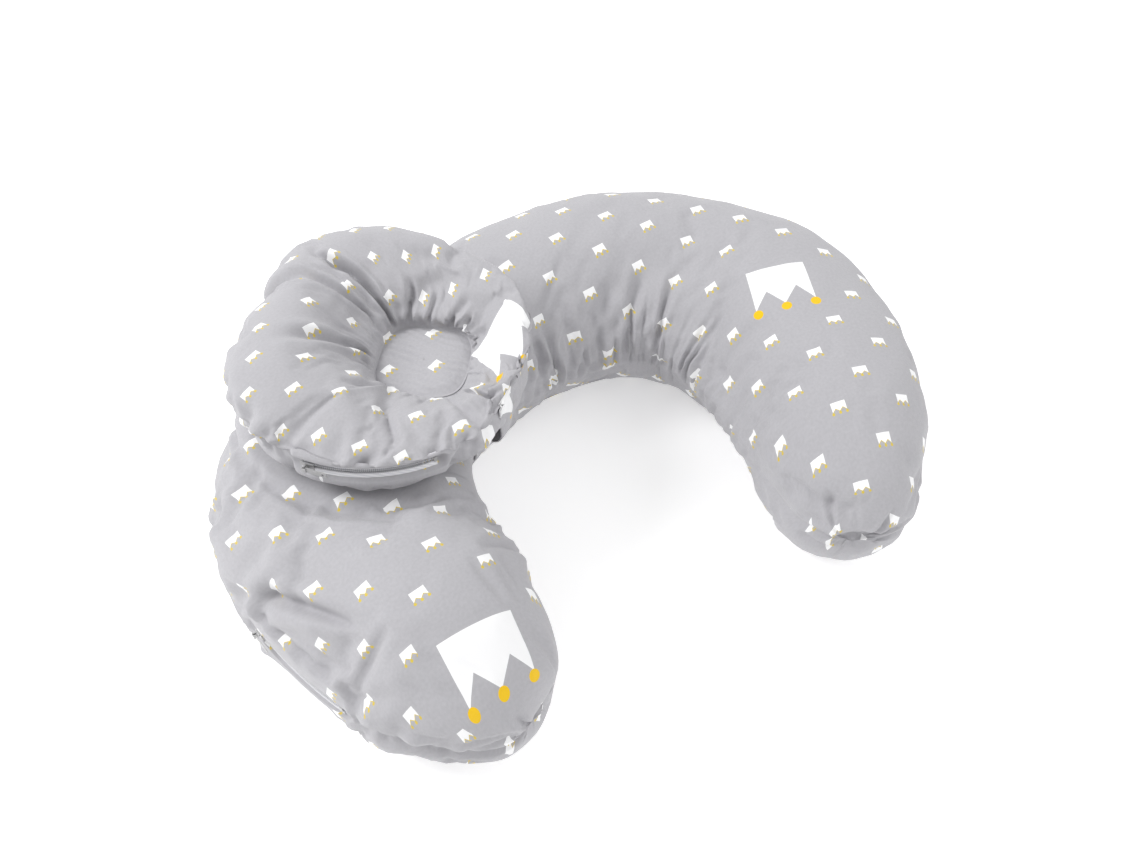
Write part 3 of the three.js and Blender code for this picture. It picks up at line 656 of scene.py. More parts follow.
def printed_cotton(name, large):
    """Plain-woven cotton percale, screen printed: matt with a soft sheen at grazing angles. The
    small crowns stand in rows, every other row moved by half a step. large holds (u, v, degrees,
    width, height) of single large crowns."""
    material, tree = new_material(name)
    cloth = add(tree, "ShaderNodeUVMap", {"uv_map": "cloth_mm"})
    place = add(tree, "ShaderNodeSeparateXYZ", None, (cloth,))
    u, v = place.outputs[0], place.outputs[1]
    row_v = add(tree, MATH, OVER, (v, ROW_PITCH))
    row = add(tree, MATH, {"operation": "FLOOR"}, (row_v,))
    row_share = add(tree, MATH, FRACTION, (row_v,))
    within = add(tree, MATH, TIMES, (row_share, ROW_PITCH))
    every_other = add(tree, MATH, {"operation": "FLOORED_MODULO"}, (row, 2.0))
    half_step = add(tree, MATH, TIMES, (every_other, CROWN_PITCH / 2))
    row_u = add(tree, MATH, PLUS, (u, half_step))
    steps = add(tree, MATH, OVER, (row_u, CROWN_PITCH))
    step_share = add(tree, MATH, FRACTION, (steps,))
    off_middle = add(tree, MATH, MINUS, (step_share, 0.5))
    across = add(tree, MATH, TIMES, (off_middle, CROWN_PITCH))
    down = add(tree, MATH, MINUS, (CROWN_TOP, within))
    white, yellow = crown(tree, across, down, CROWN_WIDE, CROWN_HIGH, True)
    large_yellows = []
    for *spot, width, height in large:
        across, down = turned(tree, u, v, spot)
        large_white, large_yellow = crown(tree, across, down, width, height, False)
        below_middle = add(tree, MATH, MINUS, (down, height * 0.5))
        across_squared = add(tree, MATH, TIMES, (across, across))
        below_squared = add(tree, MATH, TIMES, (below_middle, below_middle))
        away_squared = add(tree, MATH, PLUS, (across_squared, below_squared))
        clear = add(tree, MATH, ABOVE, (away_squared, CLEAR_ROUND ** 2))
        white_left = add(tree, MATH, TIMES, (white, clear))
        white = add(tree, MATH, LARGER, (white_left, large_white))
        yellow = add(tree, MATH, TIMES, (yellow, clear))
        large_yellows.append(large_yellow)
    # Threads of percale are about 0.25 mm; drawn at 0.9 mm so that the weave shows.
    warp, weft = [
        add(tree, "ShaderNodeTexWave", {"wave_type": "BANDS", "bands_direction": way},
            {"Vector": cloth, "Scale": 1.1, "Distortion": 1.6, "Detail": 2.0, "Detail Scale": 1.5})
        for way in ("X", "Y")]
    weave = add(tree, MATH, TIMES, (warp.outputs[1], weft.outputs[1]))
    slub = add(tree, "ShaderNodeTexNoise", None, {"Vector": cloth, "Scale": 0.42, "Detail": 4.0})
    mottle = add(tree, MATH, TIMES_PLUS, (slub, 0.22, 0.885))
    tone = add(tree, "ShaderNodeCombineColor", None, (mottle, mottle, mottle))
    ground = add(tree, MIX, {"data_type": "RGBA", "blend_type": "MULTIPLY"},
                 {0: 1.0, 6: linear(GREY_GROUND), 7: tone})
    colour = add(tree, MIX, COLOURS, {0: white, 6: ground.outputs[2], 7: linear(PRINT_WHITE)})
    colour = add(tree, MIX, COLOURS, {0: yellow, 6: colour.outputs[2], 7: linear(SMALL_YELLOW)})
    for mask in large_yellows:
        colour = add(tree, MIX, COLOURS, {0: mask, 6: colour.outputs[2], 7: linear(LARGE_YELLOW)})
    weave_height = add(tree, MATH, TIMES, (weave, 0.5))
    height = add(tree, MATH, TIMES_PLUS, (slub, 0.6, weave_height))
    raised = add(tree, "ShaderNodeBump", None,
                 {"Height": height, "Strength": 0.35, "Distance": 0.0006})
    shade = add(tree, PRINCIPLED, None, {
        "Base Color": colour.outputs[2], "Roughness": 0.88, "Sheen Weight": 0.25,
        "Sheen Roughness": 0.5, "Normal": raised, "Specular IOR Level": 0.25,
    })
    add(tree, "ShaderNodeOutputMaterial", None, (shade,))
    return material


def woven_tape(name, colour, pitch):
    """Twill zip tape: flat polyester ribs seen as fine parallel lines, pitch millimetres apart."""
    material, tree = new_material(name)
    place = add(tree, "ShaderNodeTexCoord")
    ribs = add(tree, "ShaderNodeTexWave", {"wave_type": "BANDS", "bands_direction": "DIAGONAL"},
               {"Vector": place.outputs["Object"], "Scale": 1000.0 / pitch / 6.28,
                "Distortion": 0.4})
    colours = add(tree, MIX, COLOURS,
                  {0: ribs.outputs[1], 6: linear(colour), 7: linear("#e6e6e8")})
    raised = add(tree, "ShaderNodeBump", None,
                 {"Height": ribs.outputs[1], "Strength": 0.4, "Distance": 0.0003})
    shade = add(tree, PRINCIPLED, None,
                {"Base Color": colours.outputs[2], "Roughness": 0.75, "Normal": raised})
    add(tree, "ShaderNodeOutputMaterial", None, (shade,))
    return material


def plain_finish(name, colour, roughness, metallic, grain):
    """A finish with fine unevenness in its colour and roughness, of a grain in millimetres."""
    material, tree = new_material(name)
    place = add(tree, "ShaderNodeTexCoord")
    noise = add(tree, "ShaderNodeTexNoise", None,
                {"Vector": place.outputs["Object"], "Scale": 1000.0 / grain, "Detail": 3.0})
    dark = tuple(c * 0.86 for c in linear(colour)[:3]) + (1.0,)
    colours = add(tree, MIX, COLOURS, {0: noise, 6: dark, 7: linear(colour)})
    rough = add(tree, MATH, TIMES_PLUS, (noise, 0.12, roughness - 0.06))
    raised = add(tree, "ShaderNodeBump", None,
                 {"Height": noise, "Strength": 0.2, "Distance": grain * 0.0002})
    shade = add(tree, PRINCIPLED, None, {
        "Base Color": colours.outputs[2], "Roughness": rough, "Metallic": metallic,
        "Normal": raised,
    })
    add(tree, "ShaderNodeOutputMaterial", None, (shade,))
    return material


MAIN_PRINT = printed_cotton(
    "printed_cotton_main", [(-213, -297, -4, 54, 43), (208, -134, -6, 47, 46)])
HEAD_PRINT = printed_cotton("printed_cotton_head", [(59, -39, -9, 60, 43)])
STRAP_PRINT = printed_cotton("printed_cotton_strap", [(-48, 2, 0, 50, 33)])
# Bleached polycotton lining is matt and faintly cream; the hollow polyester fibre it holds is
# whiter and duller still.
BAG_CLOTH = plain_finish("bleached_lining", "#efeeea", 0.9, 0.0, 1.2)
FIBRE_FILL = plain_finish("polyester_fibre", "#f7f6f2", 0.95, 0.0, 3.0)
# The zips are pale grey: ribbed polyester tape, a nylon coil with a soft gloss, and satin painted
# zinc. Their grain is drawn at 0.6 to 1 mm, coarser than it is, so that it shows.
ZIP_TAPE = woven_tape("polyester_zip_tape", "#d3d3d8", 1.0)
ZIP_COIL = plain_finish("nylon_coil", "#dcdce0", 0.42, 0.0, 0.6)
ZIP_METAL = plain_finish("painted_zinc", "#c2c2c2", 0.34, 0.6, 0.8)

# ---------------------------------------------------------------- main cover

s, turn = pillow_rows()
grid_size = len(s), COLUMNS.size
base = pillow_surface(
    *[np.broadcast_to(a, grid_size) for a in (s, turn, SIDES, COLUMNS)], 0.4, CUT_IN, CUT_Z)
upper = base[:, :len(HALF)]
lower = np.concatenate([base[:, len(HALF) - 1:], base[:, :1]], 1)[:, ::-1]
cloth_upper = cloth_of_half(upper, s, turn)
# The lower panel is cut twenty rows further up the cloth, clear of the large crowns.
cloth_lower = cloth_of_half(lower, s, turn) + np.array([0.0, 20 * ROW_PITCH])

coarse = base[::2, ::2]
s_full = np.broadcast_to(s, base.shape[:2])
on_seam = bump(np.sin(COLUMNS), 0.14) * np.ones_like(s_full)
flat_under = smooth((6 - base[..., 2]) / 4)
from_head = np.hypot(base[..., 0] - HEAD_X, base[..., 1] - HEAD_Y)
seat = smooth((HEAD_R + 4 - from_head) / 10) * (SIDES > 0)
strapped = smooth((STRAP_WIDTH / 2 + 4 - np.abs(s_full - STRAP_AT)) / 5)
near_seam = smooth((0.35 - np.abs(np.sin(COLUMNS))) / 0.2)
zipped = main_slot_at(s_full) * near_seam * (np.cos(COLUMNS) > 0)
still = np.maximum.reduce([flat_under * 0.9, seat, strapped, zipped])
start = coarse + grid_normals(coarse, True) * 3.0 * (1 - still[::2, ::2])[..., None]
hold = np.clip(still + 0.55 * on_seam, 0, 1)[::2, ::2]
moved = puffed(start, on_seam[::2, ::2], hold, 0.06, 0.04, 14.0, inward=True)
moved = moved + (start - coarse)
moved = doubled(doubled(moved, 0, False), 1, True)[:base.shape[0], :base.shape[1]]
moved *= (1 - still)[..., None]

# Folds are placed by length along the pillow and by angle round its section times a mean radius.
ROUND_R = 84.0
INNER_SEAM, NEAR_INNER = ROUND_R * math.pi, 2.95
along = np.broadcast_to(s + np.sign(s) * END_CAP * turn, base.shape[:2])
across = ROUND_R * np.where(SIDES > 0, COLUMNS, 2 * math.pi - COLUMNS) * np.ones_like(along)
across_outer = np.where(across > ROUND_R * 1.5 * math.pi, across - ROUND_R * 2 * math.pi, across)
# Each fold: length and angle at its start, length and angle at its end, depth, width and bow.
MAIN_FOLDS = [
    (38, 2.2, 25, 3.1, 3.6, 6.5, 4), (62, 2.45, 36, 3.1, 3.0, 5.0, -3),
    (90, 2.2, 60, 3.1, 4.0, 7.0, 5), (146, 2.1, 98, 3.0, 4.5, 9.0, 8),
    (229, 1.8, 300, 3.0, 2.6, 9.0, -8), (330, 1.9, 338, 3.0, 2.6, 8.0, 6),
    (185, 2.0, 168, 3.1, 4.2, 8.0, 5), (262, 2.3, 250, 3.1, 3.4, 7.0, -4),
    (-16, 2.4, -16, 3.1, 3.2, 4.5, 0), (-46, 2.3, -44, 3.1, 3.4, 4.0, 2),
    (2, 2.5, 8, 3.1, 3.2, 4.5, 2), (-19, 1.1, 6, 1.9, 1.8, 7.0, 3),
    (60, 1.7, 130, 1.25, 1.5, 10.0, 6), (-312, 0.38, -402, 1.0, 9.5, 6.5, -8),
    (-250, 0.4, -300, 0.9, 3.5, 8.0, 4), (-391, 0.15, -440, 0.7, 3.6, 8.0, 4),
    (-500, 1.1, -540, 0.6, 4.0, 7.0, 3), (-470, 1.9, -515, 2.7, 3.0, 8.0, 3),
    (500, 1.0, 545, 0.5, 3.2, 7.0, 3), (490, 2.1, 540, 2.6, 3.4, 7.0, 4),
    (465, 1.2, 470, 0.4, 2.6, 7.0, 4), (-250, 2.4, -262, 3.0, 3.0, 7.0, 3),
    (-320, 2.3, -330, 3.0, 2.4, 8.0, 3), (-230, 1.35, -345, 1.9, 1.6, 12.0, 8),
    (200, 0.9, 260, 0.5, 1.8, 9.0, 5), (-205, 0.9, -250, 0.7, 2.4, 8.0, 4),
    (-196, 2.3, -205, 3.0, 3.6, 6.0, 3),
]
relief = np.zeros_like(along)
for s0, a0, s1, a1, depth, width, bow in MAIN_FOLDS:
    relief += fold(along, across_outer, (s0, a0 * ROUND_R), (s1, a1 * ROUND_R),
                   depth, width, bow, a1 > NEAR_INNER)
rng = np.random.default_rng(5)
inner_places = [(at, INNER_SEAM) for at in np.sort(rng.uniform(-430, 440, 66))]
dense_places = [(at, INNER_SEAM) for at in np.sort(rng.uniform(-72, 120, 26))]
outer_places = [(at, 0.0) for at in np.sort(rng.uniform(-470, 480, 60))]
rng.uniform(size=28)  # skipped, which keeps the scallops below where they are
relief += gathers(along, across, inner_places, -1, 6, (28, 80), (0.7, 2.2), (3.2, 6.0))
relief += gathers(along, across, dense_places, -1, 7, (22, 60), (1.0, 2.6), (2.6, 4.2))
relief += gathers(along, across_outer, outer_places, 1, 8, (14, 42), (0.6, 2.0), (3.2, 6.0))
relief += gathers(
    along, 2 * INNER_SEAM - across, inner_places[::2], -1, 9, (20, 50), (0.6, 1.8), (3.2, 6.0))
relief += gathers(along, -across_outer, outer_places[::2], 1, 10, (14, 40), (0.6, 1.8), (3.2, 6.0))
scallop_places = [(at, 0.0) for at in np.linspace(-305, -482, 15) + rng.uniform(-3, 3, 15)]
relief += gathers(along, across_outer, scallop_places, 1, 14, (26, 46), (1.4, 3.4), (3.4, 5.6))
relief += 1.6 * waves(base, 150, 11) + 0.7 * waves(base, 60, 12) + 0.22 * waves(base, 22, 13)
# The seam lies in a shallow groove between the two panels.
relief -= 1.3 * bump(np.sin(COLUMNS) * ROUND_R, 3.2) * (1 - zipped)
to_tip = math.pi / 2 - np.broadcast_to(turn, along.shape)
relief *= (1 - still) * (0.35 + 0.65 * smooth(to_tip / 0.25))
# Both arms end bluntly, and the left arm swells beside the head pillow.
outward = centre_at(np.broadcast_to(s, along.shape))[1]
swell = 13 * bump(along + 232, 78) * np.maximum(0, np.cos(COLUMNS)) ** 1.5
swell = swell * (1 - zipped) * (1 - flat_under)
reach_on = 15 * smooth((along - 430) / 70) - 13 * smooth((-along - 440) / 70)
tangent = np.stack([outward[..., 1], -outward[..., 0]], -1)
moved[..., :2] += outward * swell[..., None] + tangent * reach_on[..., None]
cover = base + moved - grid_normals(base, True) * relief[..., None]
cover[..., 2] = np.maximum(cover[..., 2], 0.2)
main_cover = tube_piece("main_cover", cover, cloth_upper, cloth_lower, MAIN_PRINT)
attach(main_cover, "main")
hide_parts("main_cover_upper", "main_cover_lower")


def blurred(grid, times):
    """Grid averaged with its neighbours along rows and columns, times over; the end rows stay."""
    for _ in range(times):
        grid = (2 * grid + np.roll(grid, 1, 1) + np.roll(grid, -1, 1)) / 4
        grid[1:-1] = (2 * grid[1:-1] + grid[:-2] + grid[2:]) / 4
    return grid


def lining(name, grid, inset, times, material, body, *nodes, sink=0.0, centre_line=None):
    """Skin of an inner bag or filling: the cover's grid, evened out and moved inwards along its
    normals, with each end point drawn in by the same depth. With a centre_line of points and
    weights it is drawn towards the ring's middle circle in plan, and in height towards the flat
    back; its first end point then lies sink lower."""
    even = blurred(grid[::2, ::2].copy(), times)
    if centre_line is None:
        normals = grid_normals(even, True)
        sign = np.sign(np.einsum("ijk,ijk->", normals, even - even.mean((0, 1))) + 1e-9)
        shell = even - sign * normals * inset
    else:
        shell = even.copy()
        weight = centre_line[1][::2, ::2, None]
        shell[..., :2] += (centre_line[0][None, ::2] - even[..., :2]) * weight
        shell[..., 2] = SEAT_Z + 2.5 + (even[..., 2] - SEAT_Z) * (0.74 - inset / 100)
    shell[0] = shell[3].mean(0) - (0, 0, sink)
    shell[-1] = shell[-4].mean(0)
    shares = np.array([0.35, 0.7])[:, None, None]
    shell[[1, 2]] = shell[0] + (shell[[3]] - shell[0]) * shares
    shell[[-2, -3]] = shell[-1] + (shell[[-4]] - shell[-1]) * shares
    faces, corners = tube_faces(*shell.shape[:2])
    flat = shell[..., :2] - shell[..., :2].mean((0, 1))
    cloths = [flat[c[..., 0], c[..., 1] % shell.shape[1]] for c in corners]
    piece = make_mesh(name, pole_points(shell), faces, cloths, material)
    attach(piece, body)
    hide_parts(*nodes)
    return piece


main_bag = lining("main_bag", cover, 11.0, 3, BAG_CLOTH, "main", "main_bag_upper", "main_bag_lower")
main_fill = lining("main_fibre", cover, 14.0, 5, FIBRE_FILL, "main", "main_filling")

# ---------------------------------------------------------------- head cover

RING_COLUMNS = 360
DEGREES = np.linspace(0, 360, RING_COLUMNS, endpoint=False)
panel_mid = np.array([HEAD_X + PANEL_DX, HEAD_Y + PANEL_DY])
# Turns of the rows over the ring and under it, close together at the rim's zip.
RING_TURNS = np.concatenate([[0.0, 0.03, 0.07, 0.12], np.linspace(0.18, math.pi, 51)])
UNDER_TURNS = np.concatenate([[0.03, 0.07, 0.12], np.linspace(0.18, math.pi / 2, 24)])


def ring_half(turns, side, first=0):
    """One half of the ring as a grid: rows are turns, columns go round."""
    cut_in, cut_z = zip_opening(len(turns), first)
    d, t = np.meshgrid(DEGREES, turns)
    grids = np.broadcast_arrays(d, np.full_like(d, side), t, cut_in[:, None], cut_z[:, None])
    return head_surface(*grids)


ring_top = ring_half(RING_TURNS, 1)
ring_low = ring_half(UNDER_TURNS, -1, 1)
# The grid goes on under the centre panel as a tucked allowance, and over the flat back.
last = ring_low[-1]
middle = np.array([HEAD_X, HEAD_Y, last[0, 2]])
closing = np.stack([last + (middle - last) * k for k in np.linspace(0, 1, 12)[1:]])
inside = ring_top[-1]
panel_middle = np.array([*panel_mid, inside[0, 2] - 3.0])
tucked = np.stack([
    inside + (panel_middle - inside) * k - [0, 0, 3 * min(1, 6 * k)] for k in (0.06, 0.3, 0.65, 1)])
head_grid = np.concatenate([tucked[::-1], ring_top[::-1], ring_low, closing])


PRINT_TURN = 19.0  # degrees that the head pillow's top cloth is turned


def head_cloth():
    """Cloth place of the head cover: its distance from the middle is the length over the rows so
    far, as on a flat disc of cloth that is gathered at the rim."""
    step = np.linalg.norm(np.diff(head_grid, axis=0), axis=-1)
    reach = np.concatenate([np.zeros((1, RING_COLUMNS)), np.cumsum(step, 0)])
    a = np.radians(DEGREES - PRINT_TURN)
    return reach[..., None] * np.stack([np.cos(a), np.sin(a)], -1)[None]


flat_head = head_cloth()
count = len(head_grid)
inner_row, rim_row = len(tucked), len(tucked) + len(ring_top) - 1
row = np.arange(count)[:, None] * np.ones((1, RING_COLUMNS))
deg_grid = np.broadcast_to(DEGREES, row.shape)
# Turn over the ring, 0 at the rim and pi at the centre panel, carried on past both.
past_panel = np.interp(
    np.arange(count), [0, inner_row, rim_row, count - 1], [3.6, math.pi, 0, -2.6])
exact = np.concatenate([
    np.full(inner_row, 3.3), RING_TURNS[::-1], -UNDER_TURNS, np.full(len(closing), -1.8)])
turn_grid = np.where(row >= inner_row, exact[:, None], past_panel[:, None])
head_zipped = head_slot_at(deg_grid) * smooth((0.42 - np.abs(turn_grid)) / 0.2)
flat_back = smooth((SEAT_Z + 7 - head_grid[..., 2]) / 5)
tucked_in = smooth((turn_grid - 2.95) / 0.12)
held_head = np.maximum.reduce([head_zipped, flat_back, tucked_in])
rim_near = bump(turn_grid, 0.3)
coarse = head_grid[::2, ::2]
start = coarse - grid_normals(coarse, True) * 3.5 * (1 - held_head[::2, ::2])[..., None]
drawn = np.maximum(rim_near, smooth((turn_grid - 2.5) / 0.5))[::2, ::2]
hold = np.clip(held_head + 0.35 * rim_near, 0, 1)[::2, ::2]
moved = puffed(start, drawn, hold, 0.10, 0.03, 13.0)
moved = moved + (start - coarse)
moved = doubled(doubled(moved, 0, False), 1, True)
moved *= (1 - held_head)[..., None]

# Folds by direction in degrees times a mean radius, and by turn over the ring times its own.
RING_R, TURN_R = 80.0, 42.0
# Each fold: direction and turn at its start, direction and turn at its end, depth, width, bow.
HEAD_FOLDS = [
    (97, 3.0, 104, 1.2, 9.5, 4.2, 4), (112, 2.6, 119, 0.9, 6.5, 4.2, -2),
    (120, 1.5, 125, 0.3, 7.0, 5.0, 0), (80, 3.05, 64, 2.2, 5.5, 4.5, 2),
    (56, 3.05, 42, 2.3, 4.0, 4.0, 2), (152, 3.0, 163, 1.3, 6.0, 5.5, -3),
    (28, 3.05, 14, 2.1, 4.5, 5.0, 3), (205, 3.0, 200, 1.9, 3.5, 5.0, 2),
    (248, 3.0, 250, 1.9, 2.4, 4.5, 0), (281, 2.7, 303, 0.6, 8.0, 2.6, 6),
    (268, 2.7, 284, 0.9, 3.6, 3.2, 4), (274, 1.4, 283, 0.2, 3.4, 3.0, 4),
    (239, 1.0, 232, 0.05, 6.0, 5.0, 2), (260, 0.9, 263, 0.02, 5.0, 4.0, 0),
    (252, 0.7, 254, 0.05, 3.4, 3.5, 1), (272, 0.8, 276, 0.0, 3.6, 4.0, 0),
    (216, 0.8, 213, 0.0, 3.0, 5.0, 1), (190, 0.9, 187, 0.0, 3.4, 5.0, 1),
    (345, 1.4, 330, 0.2, 3.2, 5.0, 3), (2, 0.9, 6, 0.0, 3.0, 4.5, 1),
    (40, 0.9, 38, 0.0, 3.4, 5.0, 1), (82, 0.9, 80, 0.0, 3.0, 5.0, 1),
    (150, 0.9, 152, 0.0, 4.0, 5.0, 1), (172, 0.7, 170, 0.0, 2.6, 5.0, 1),
]
head_relief = np.zeros_like(turn_grid)
around_mm = np.radians(deg_grid) * RING_R
for d0, t0, d1, t1, depth, width, bow in HEAD_FOLDS:
    nearest = np.radians(d0 + turn_gap(deg_grid, d0)) * RING_R
    ends = (np.radians(d0) * RING_R, t0 * TURN_R), (np.radians(d1) * RING_R, t1 * TURN_R)
    if t0 > 2:
        ends = ends[::-1]
    head_relief += fold(nearest, turn_grid * TURN_R, *ends, depth, width, bow, True)
rng = np.random.default_rng(15)
rim_places = [(np.radians(d) * RING_R, 0.0) for d in np.sort(rng.uniform(4, 356, 46))]
panel_places = [
    (np.radians(d) * RING_R, math.pi * TURN_R) for d in np.sort(rng.uniform(4, 356, 40))]
turn_mm = turn_grid * TURN_R
head_relief += gathers(around_mm, turn_mm, rim_places, 1, 16, (12, 44), (0.6, 2.4), (2.6, 5.0))
head_relief += gathers(
    around_mm, -turn_mm, rim_places[::2], 1, 17, (10, 30), (0.6, 1.6), (2.6, 4.4))
head_relief += gathers(around_mm, turn_mm, panel_places, -1, 18, (14, 60), (0.7, 2.4), (2.4, 4.4))
head_relief += 1.4 * waves(head_grid, 95, 21)
head_relief += 0.6 * waves(head_grid, 40, 22)
head_relief += 0.2 * waves(head_grid, 18, 23)
head_relief -= 1.2 * bump(turn_grid * TURN_R, 2.6) * (1 - head_zipped)
head_relief *= 1 - held_head
head_grid = head_grid + moved + grid_normals(head_grid, True) * head_relief[..., None]
# On the near side the ring slopes gently up from the panel, as the weight of a head leaves it.
panel_reach = np.linalg.norm(panel_edge(DEGREES) - panel_mid, axis=-1)
away = np.linalg.norm(head_grid[..., :2] - panel_mid, axis=-1) - panel_reach
worn = bump(turn_gap(deg_grid, -80), 52) * smooth((turn_grid - 0.4) / 0.5)
worn = worn * smooth((3.2 - turn_grid) / 0.1)
PANEL_Z = HEAD_SEAM_Z - PANEL_DROP + PANEL_LIFT
slope = PANEL_Z + 0.5 + 0.78 * np.maximum(0, away) + 0.35 * head_relief
SOFT_BAND = 4  # millimetres below the slope where it starts to press
over = head_grid[..., 2] - slope + SOFT_BAND
pressed = np.where(over > 0, over - np.minimum(SOFT_BAND, over) * 0.25, 0)
head_grid[..., 2] -= worn * pressed
faces, corners = tube_faces(count, RING_COLUMNS)
# The back panel is one flat piece, cut with its print the other way round and seamed at the rim.
flat_back_panel = (head_grid[..., :2] - (HEAD_X, HEAD_Y)) * (-1, 1) + (421.0, 14.0)
cloths = []
for corner in corners:
    under = (corner[..., 0].min(-1) >= rim_row)[..., None, None]
    pick = corner[..., 0], corner[..., 1] % RING_COLUMNS
    cloths.append(np.where(under, flat_back_panel[pick], flat_head[pick]))
head_cover = make_mesh("head_cover", pole_points(head_grid), faces, cloths, HEAD_PRINT)
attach(head_cover, "head")
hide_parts("head_ring_panel", "head_back_panel")
round_way = np.stack([np.cos(np.radians(DEGREES)), np.sin(np.radians(DEGREES))], -1)
rim_plan = np.array([HEAD_X, HEAD_Y]) + rim_reach(DEGREES)[:, None] * round_way
ring_middle = (rim_plan + panel_edge(DEGREES)) / 2
on_ring = 0.2 * smooth((3.3 - turn_grid) / 0.3) * smooth((turn_grid + 1.8) / 0.4)
head_bag = lining("head_bag", head_grid, 0.0, 2, BAG_CLOTH, "head", "head_bag_upper",
                  "head_bag_lower", sink=12, centre_line=(ring_middle, on_ring))
head_fill = lining("head_fibre", head_grid, 6.0, 3, FIBRE_FILL, "head", "head_ring_filling",
                   "head_centre_pad", sink=12, centre_line=(ring_middle, on_ring * 1.4))

# ---------------------------------------------------------------- head centre panel

PANEL_ROWS = np.linspace(0, 1, 26)
panel_out = np.stack([panel_edge(DEGREES, 0.4)] * len(PANEL_ROWS))
panel_xy = panel_mid + (panel_out - panel_mid) * (1 - PANEL_ROWS * 0.995)[:, None, None]
# Fine parallel creases run across the panel, square to the strap's pull.
pull_way = math.radians(RIM_JOIN_DEG + 72)
pull = np.array([math.cos(pull_way), math.sin(pull_way)])
offset = panel_xy - panel_mid
crease = np.sin(offset @ pull * 0.95 + 1.4 * waves(offset, 45, 31))
crease = crease * (0.75 + 0.5 * waves(offset, 38, 32))
edge_in = smooth(PANEL_ROWS / 0.22)[:, None]
panel_z = PANEL_Z - 1.0 + edge_in * (2.4 + 0.62 * crease + 1.0 * waves(offset, 55, 33))
panel_z = panel_z + 0.5 * bump(PANEL_ROWS[:, None] - 0.07, 0.03)
top_sheet = np.concatenate([panel_xy, panel_z[..., None]], -1)
under_sheet = np.concatenate([panel_xy, np.full(panel_z.shape + (1,), PANEL_Z - 2.2)], -1)
a = np.radians(-PRINT_TURN)
spin = np.array([[math.cos(a), math.sin(a)], [-math.sin(a), math.cos(a)]])
panel_cloth = offset @ spin
panel_cloth = np.concatenate([panel_cloth, panel_cloth[:, :1]], 1)
head_centre = slab_piece("head_centre", top_sheet, under_sheet, panel_cloth, HEAD_PRINT, wrap=True)
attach(head_centre, "head")
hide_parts("head_centre_panel")

# ---------------------------------------------------------------- strap

LOOP_ROWS = 25


def strap_loop_grid(lift):
    """The band's loop round the main pillow: the cover's section lifted off it, rows across the
    band."""
    half = STRAP_WIDTH / 2
    at = np.linspace(STRAP_AT - half, STRAP_AT + half, LOOP_ROWS)[:, None]
    args = np.broadcast_arrays(at, np.zeros_like(at), SIDES[:, ::2], COLUMNS[:, ::2])
    return pillow_surface(*args, -lift)


loop = strap_loop_grid(STRAP_GAP + 0.2)
loop_along = np.linspace(-1, 1, LOOP_ROWS)[:, None]
loop_step = np.linalg.norm(np.diff(loop, axis=1), axis=-1)
loop_run = np.concatenate([np.zeros((LOOP_ROWS, 1)), np.cumsum(loop_step, 1)], 1)
soft_edge = 1 - loop_along ** 4
ripple = 0.5 * np.sin(loop_along * 9 + 1.5 * waves(loop, 70, 41)) * soft_edge + 0.5 * soft_edge
free = smooth((loop[..., 2] - 3) / 8)
covered = smooth((SEAT_Z - 2.5 - loop[..., 2]) / 3)
loop_out = loop - grid_normals(loop, True) * (1.0 + ripple * free * covered)[..., None]
closing_run = loop_run[:, -1:] + np.linalg.norm(loop[:, :1] - loop[:, -1:], axis=-1)
all_run = np.concatenate([loop_run, closing_run], 1)
loop_cloth = np.stack([np.broadcast_to(loop_along * STRAP_WIDTH / 2, all_run.shape), all_run], -1)
strap_loop = slab_piece("strap_loop", loop_out, loop, loop_cloth, STRAP_PRINT, wrap=True)
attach(strap_loop, "main")
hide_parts("strap")


# The flap's rows above the rim and below it, its columns, and where it bends.
LIFTED_ROWS, FLAP_ROWS, FLAP_COLUMNS = 8, 37, 33


def flap_grid():
    """The strap's free length: it leaves the head cover just above the rim seam, follows it to the
    rim, then runs down a curve that bends once at the knee below the rim, to the loop on the
    inner side. Rows run down, columns across."""
    spread = RIM_JOIN_SPREAD
    columns = np.linspace(RIM_JOIN_DEG - spread, RIM_JOIN_DEG + spread, FLAP_COLUMNS)
    picked = np.round(columns % 360).astype(int) % 360
    normals = grid_normals(head_grid, True)
    lifted = slice(rim_row - LIFTED_ROWS - 1, rim_row - 1)
    sink = np.linspace(-1.6, 0, LIFTED_ROWS)[:, None, None]
    upper_part = (head_grid + normals * 0.9)[lifted, picked] + sink * normals[lifted, picked]
    top = upper_part[-1]
    k = np.linspace(0, 1, FLAP_COLUMNS)
    knee = top + np.stack([0 * k + 3, 0 * k - 3, 0 * k - FLAP_DROP], -1)
    at = STRAP_AT - STRAP_WIDTH / 2 + 1 + (STRAP_WIDTH - 2) * k
    zero = np.zeros_like(at)
    foot = pillow_surface(at, zero, zero + 1, zero + math.pi - 0.2, -(STRAP_GAP + 2.2))
    t = np.linspace(0, 1, FLAP_ROWS + 1)[1:, None, None]
    lower_part = (1 - t) ** 2 * top + 2 * t * (1 - t) * knee + t ** 2 * foot
    return np.concatenate([upper_part, lower_part])


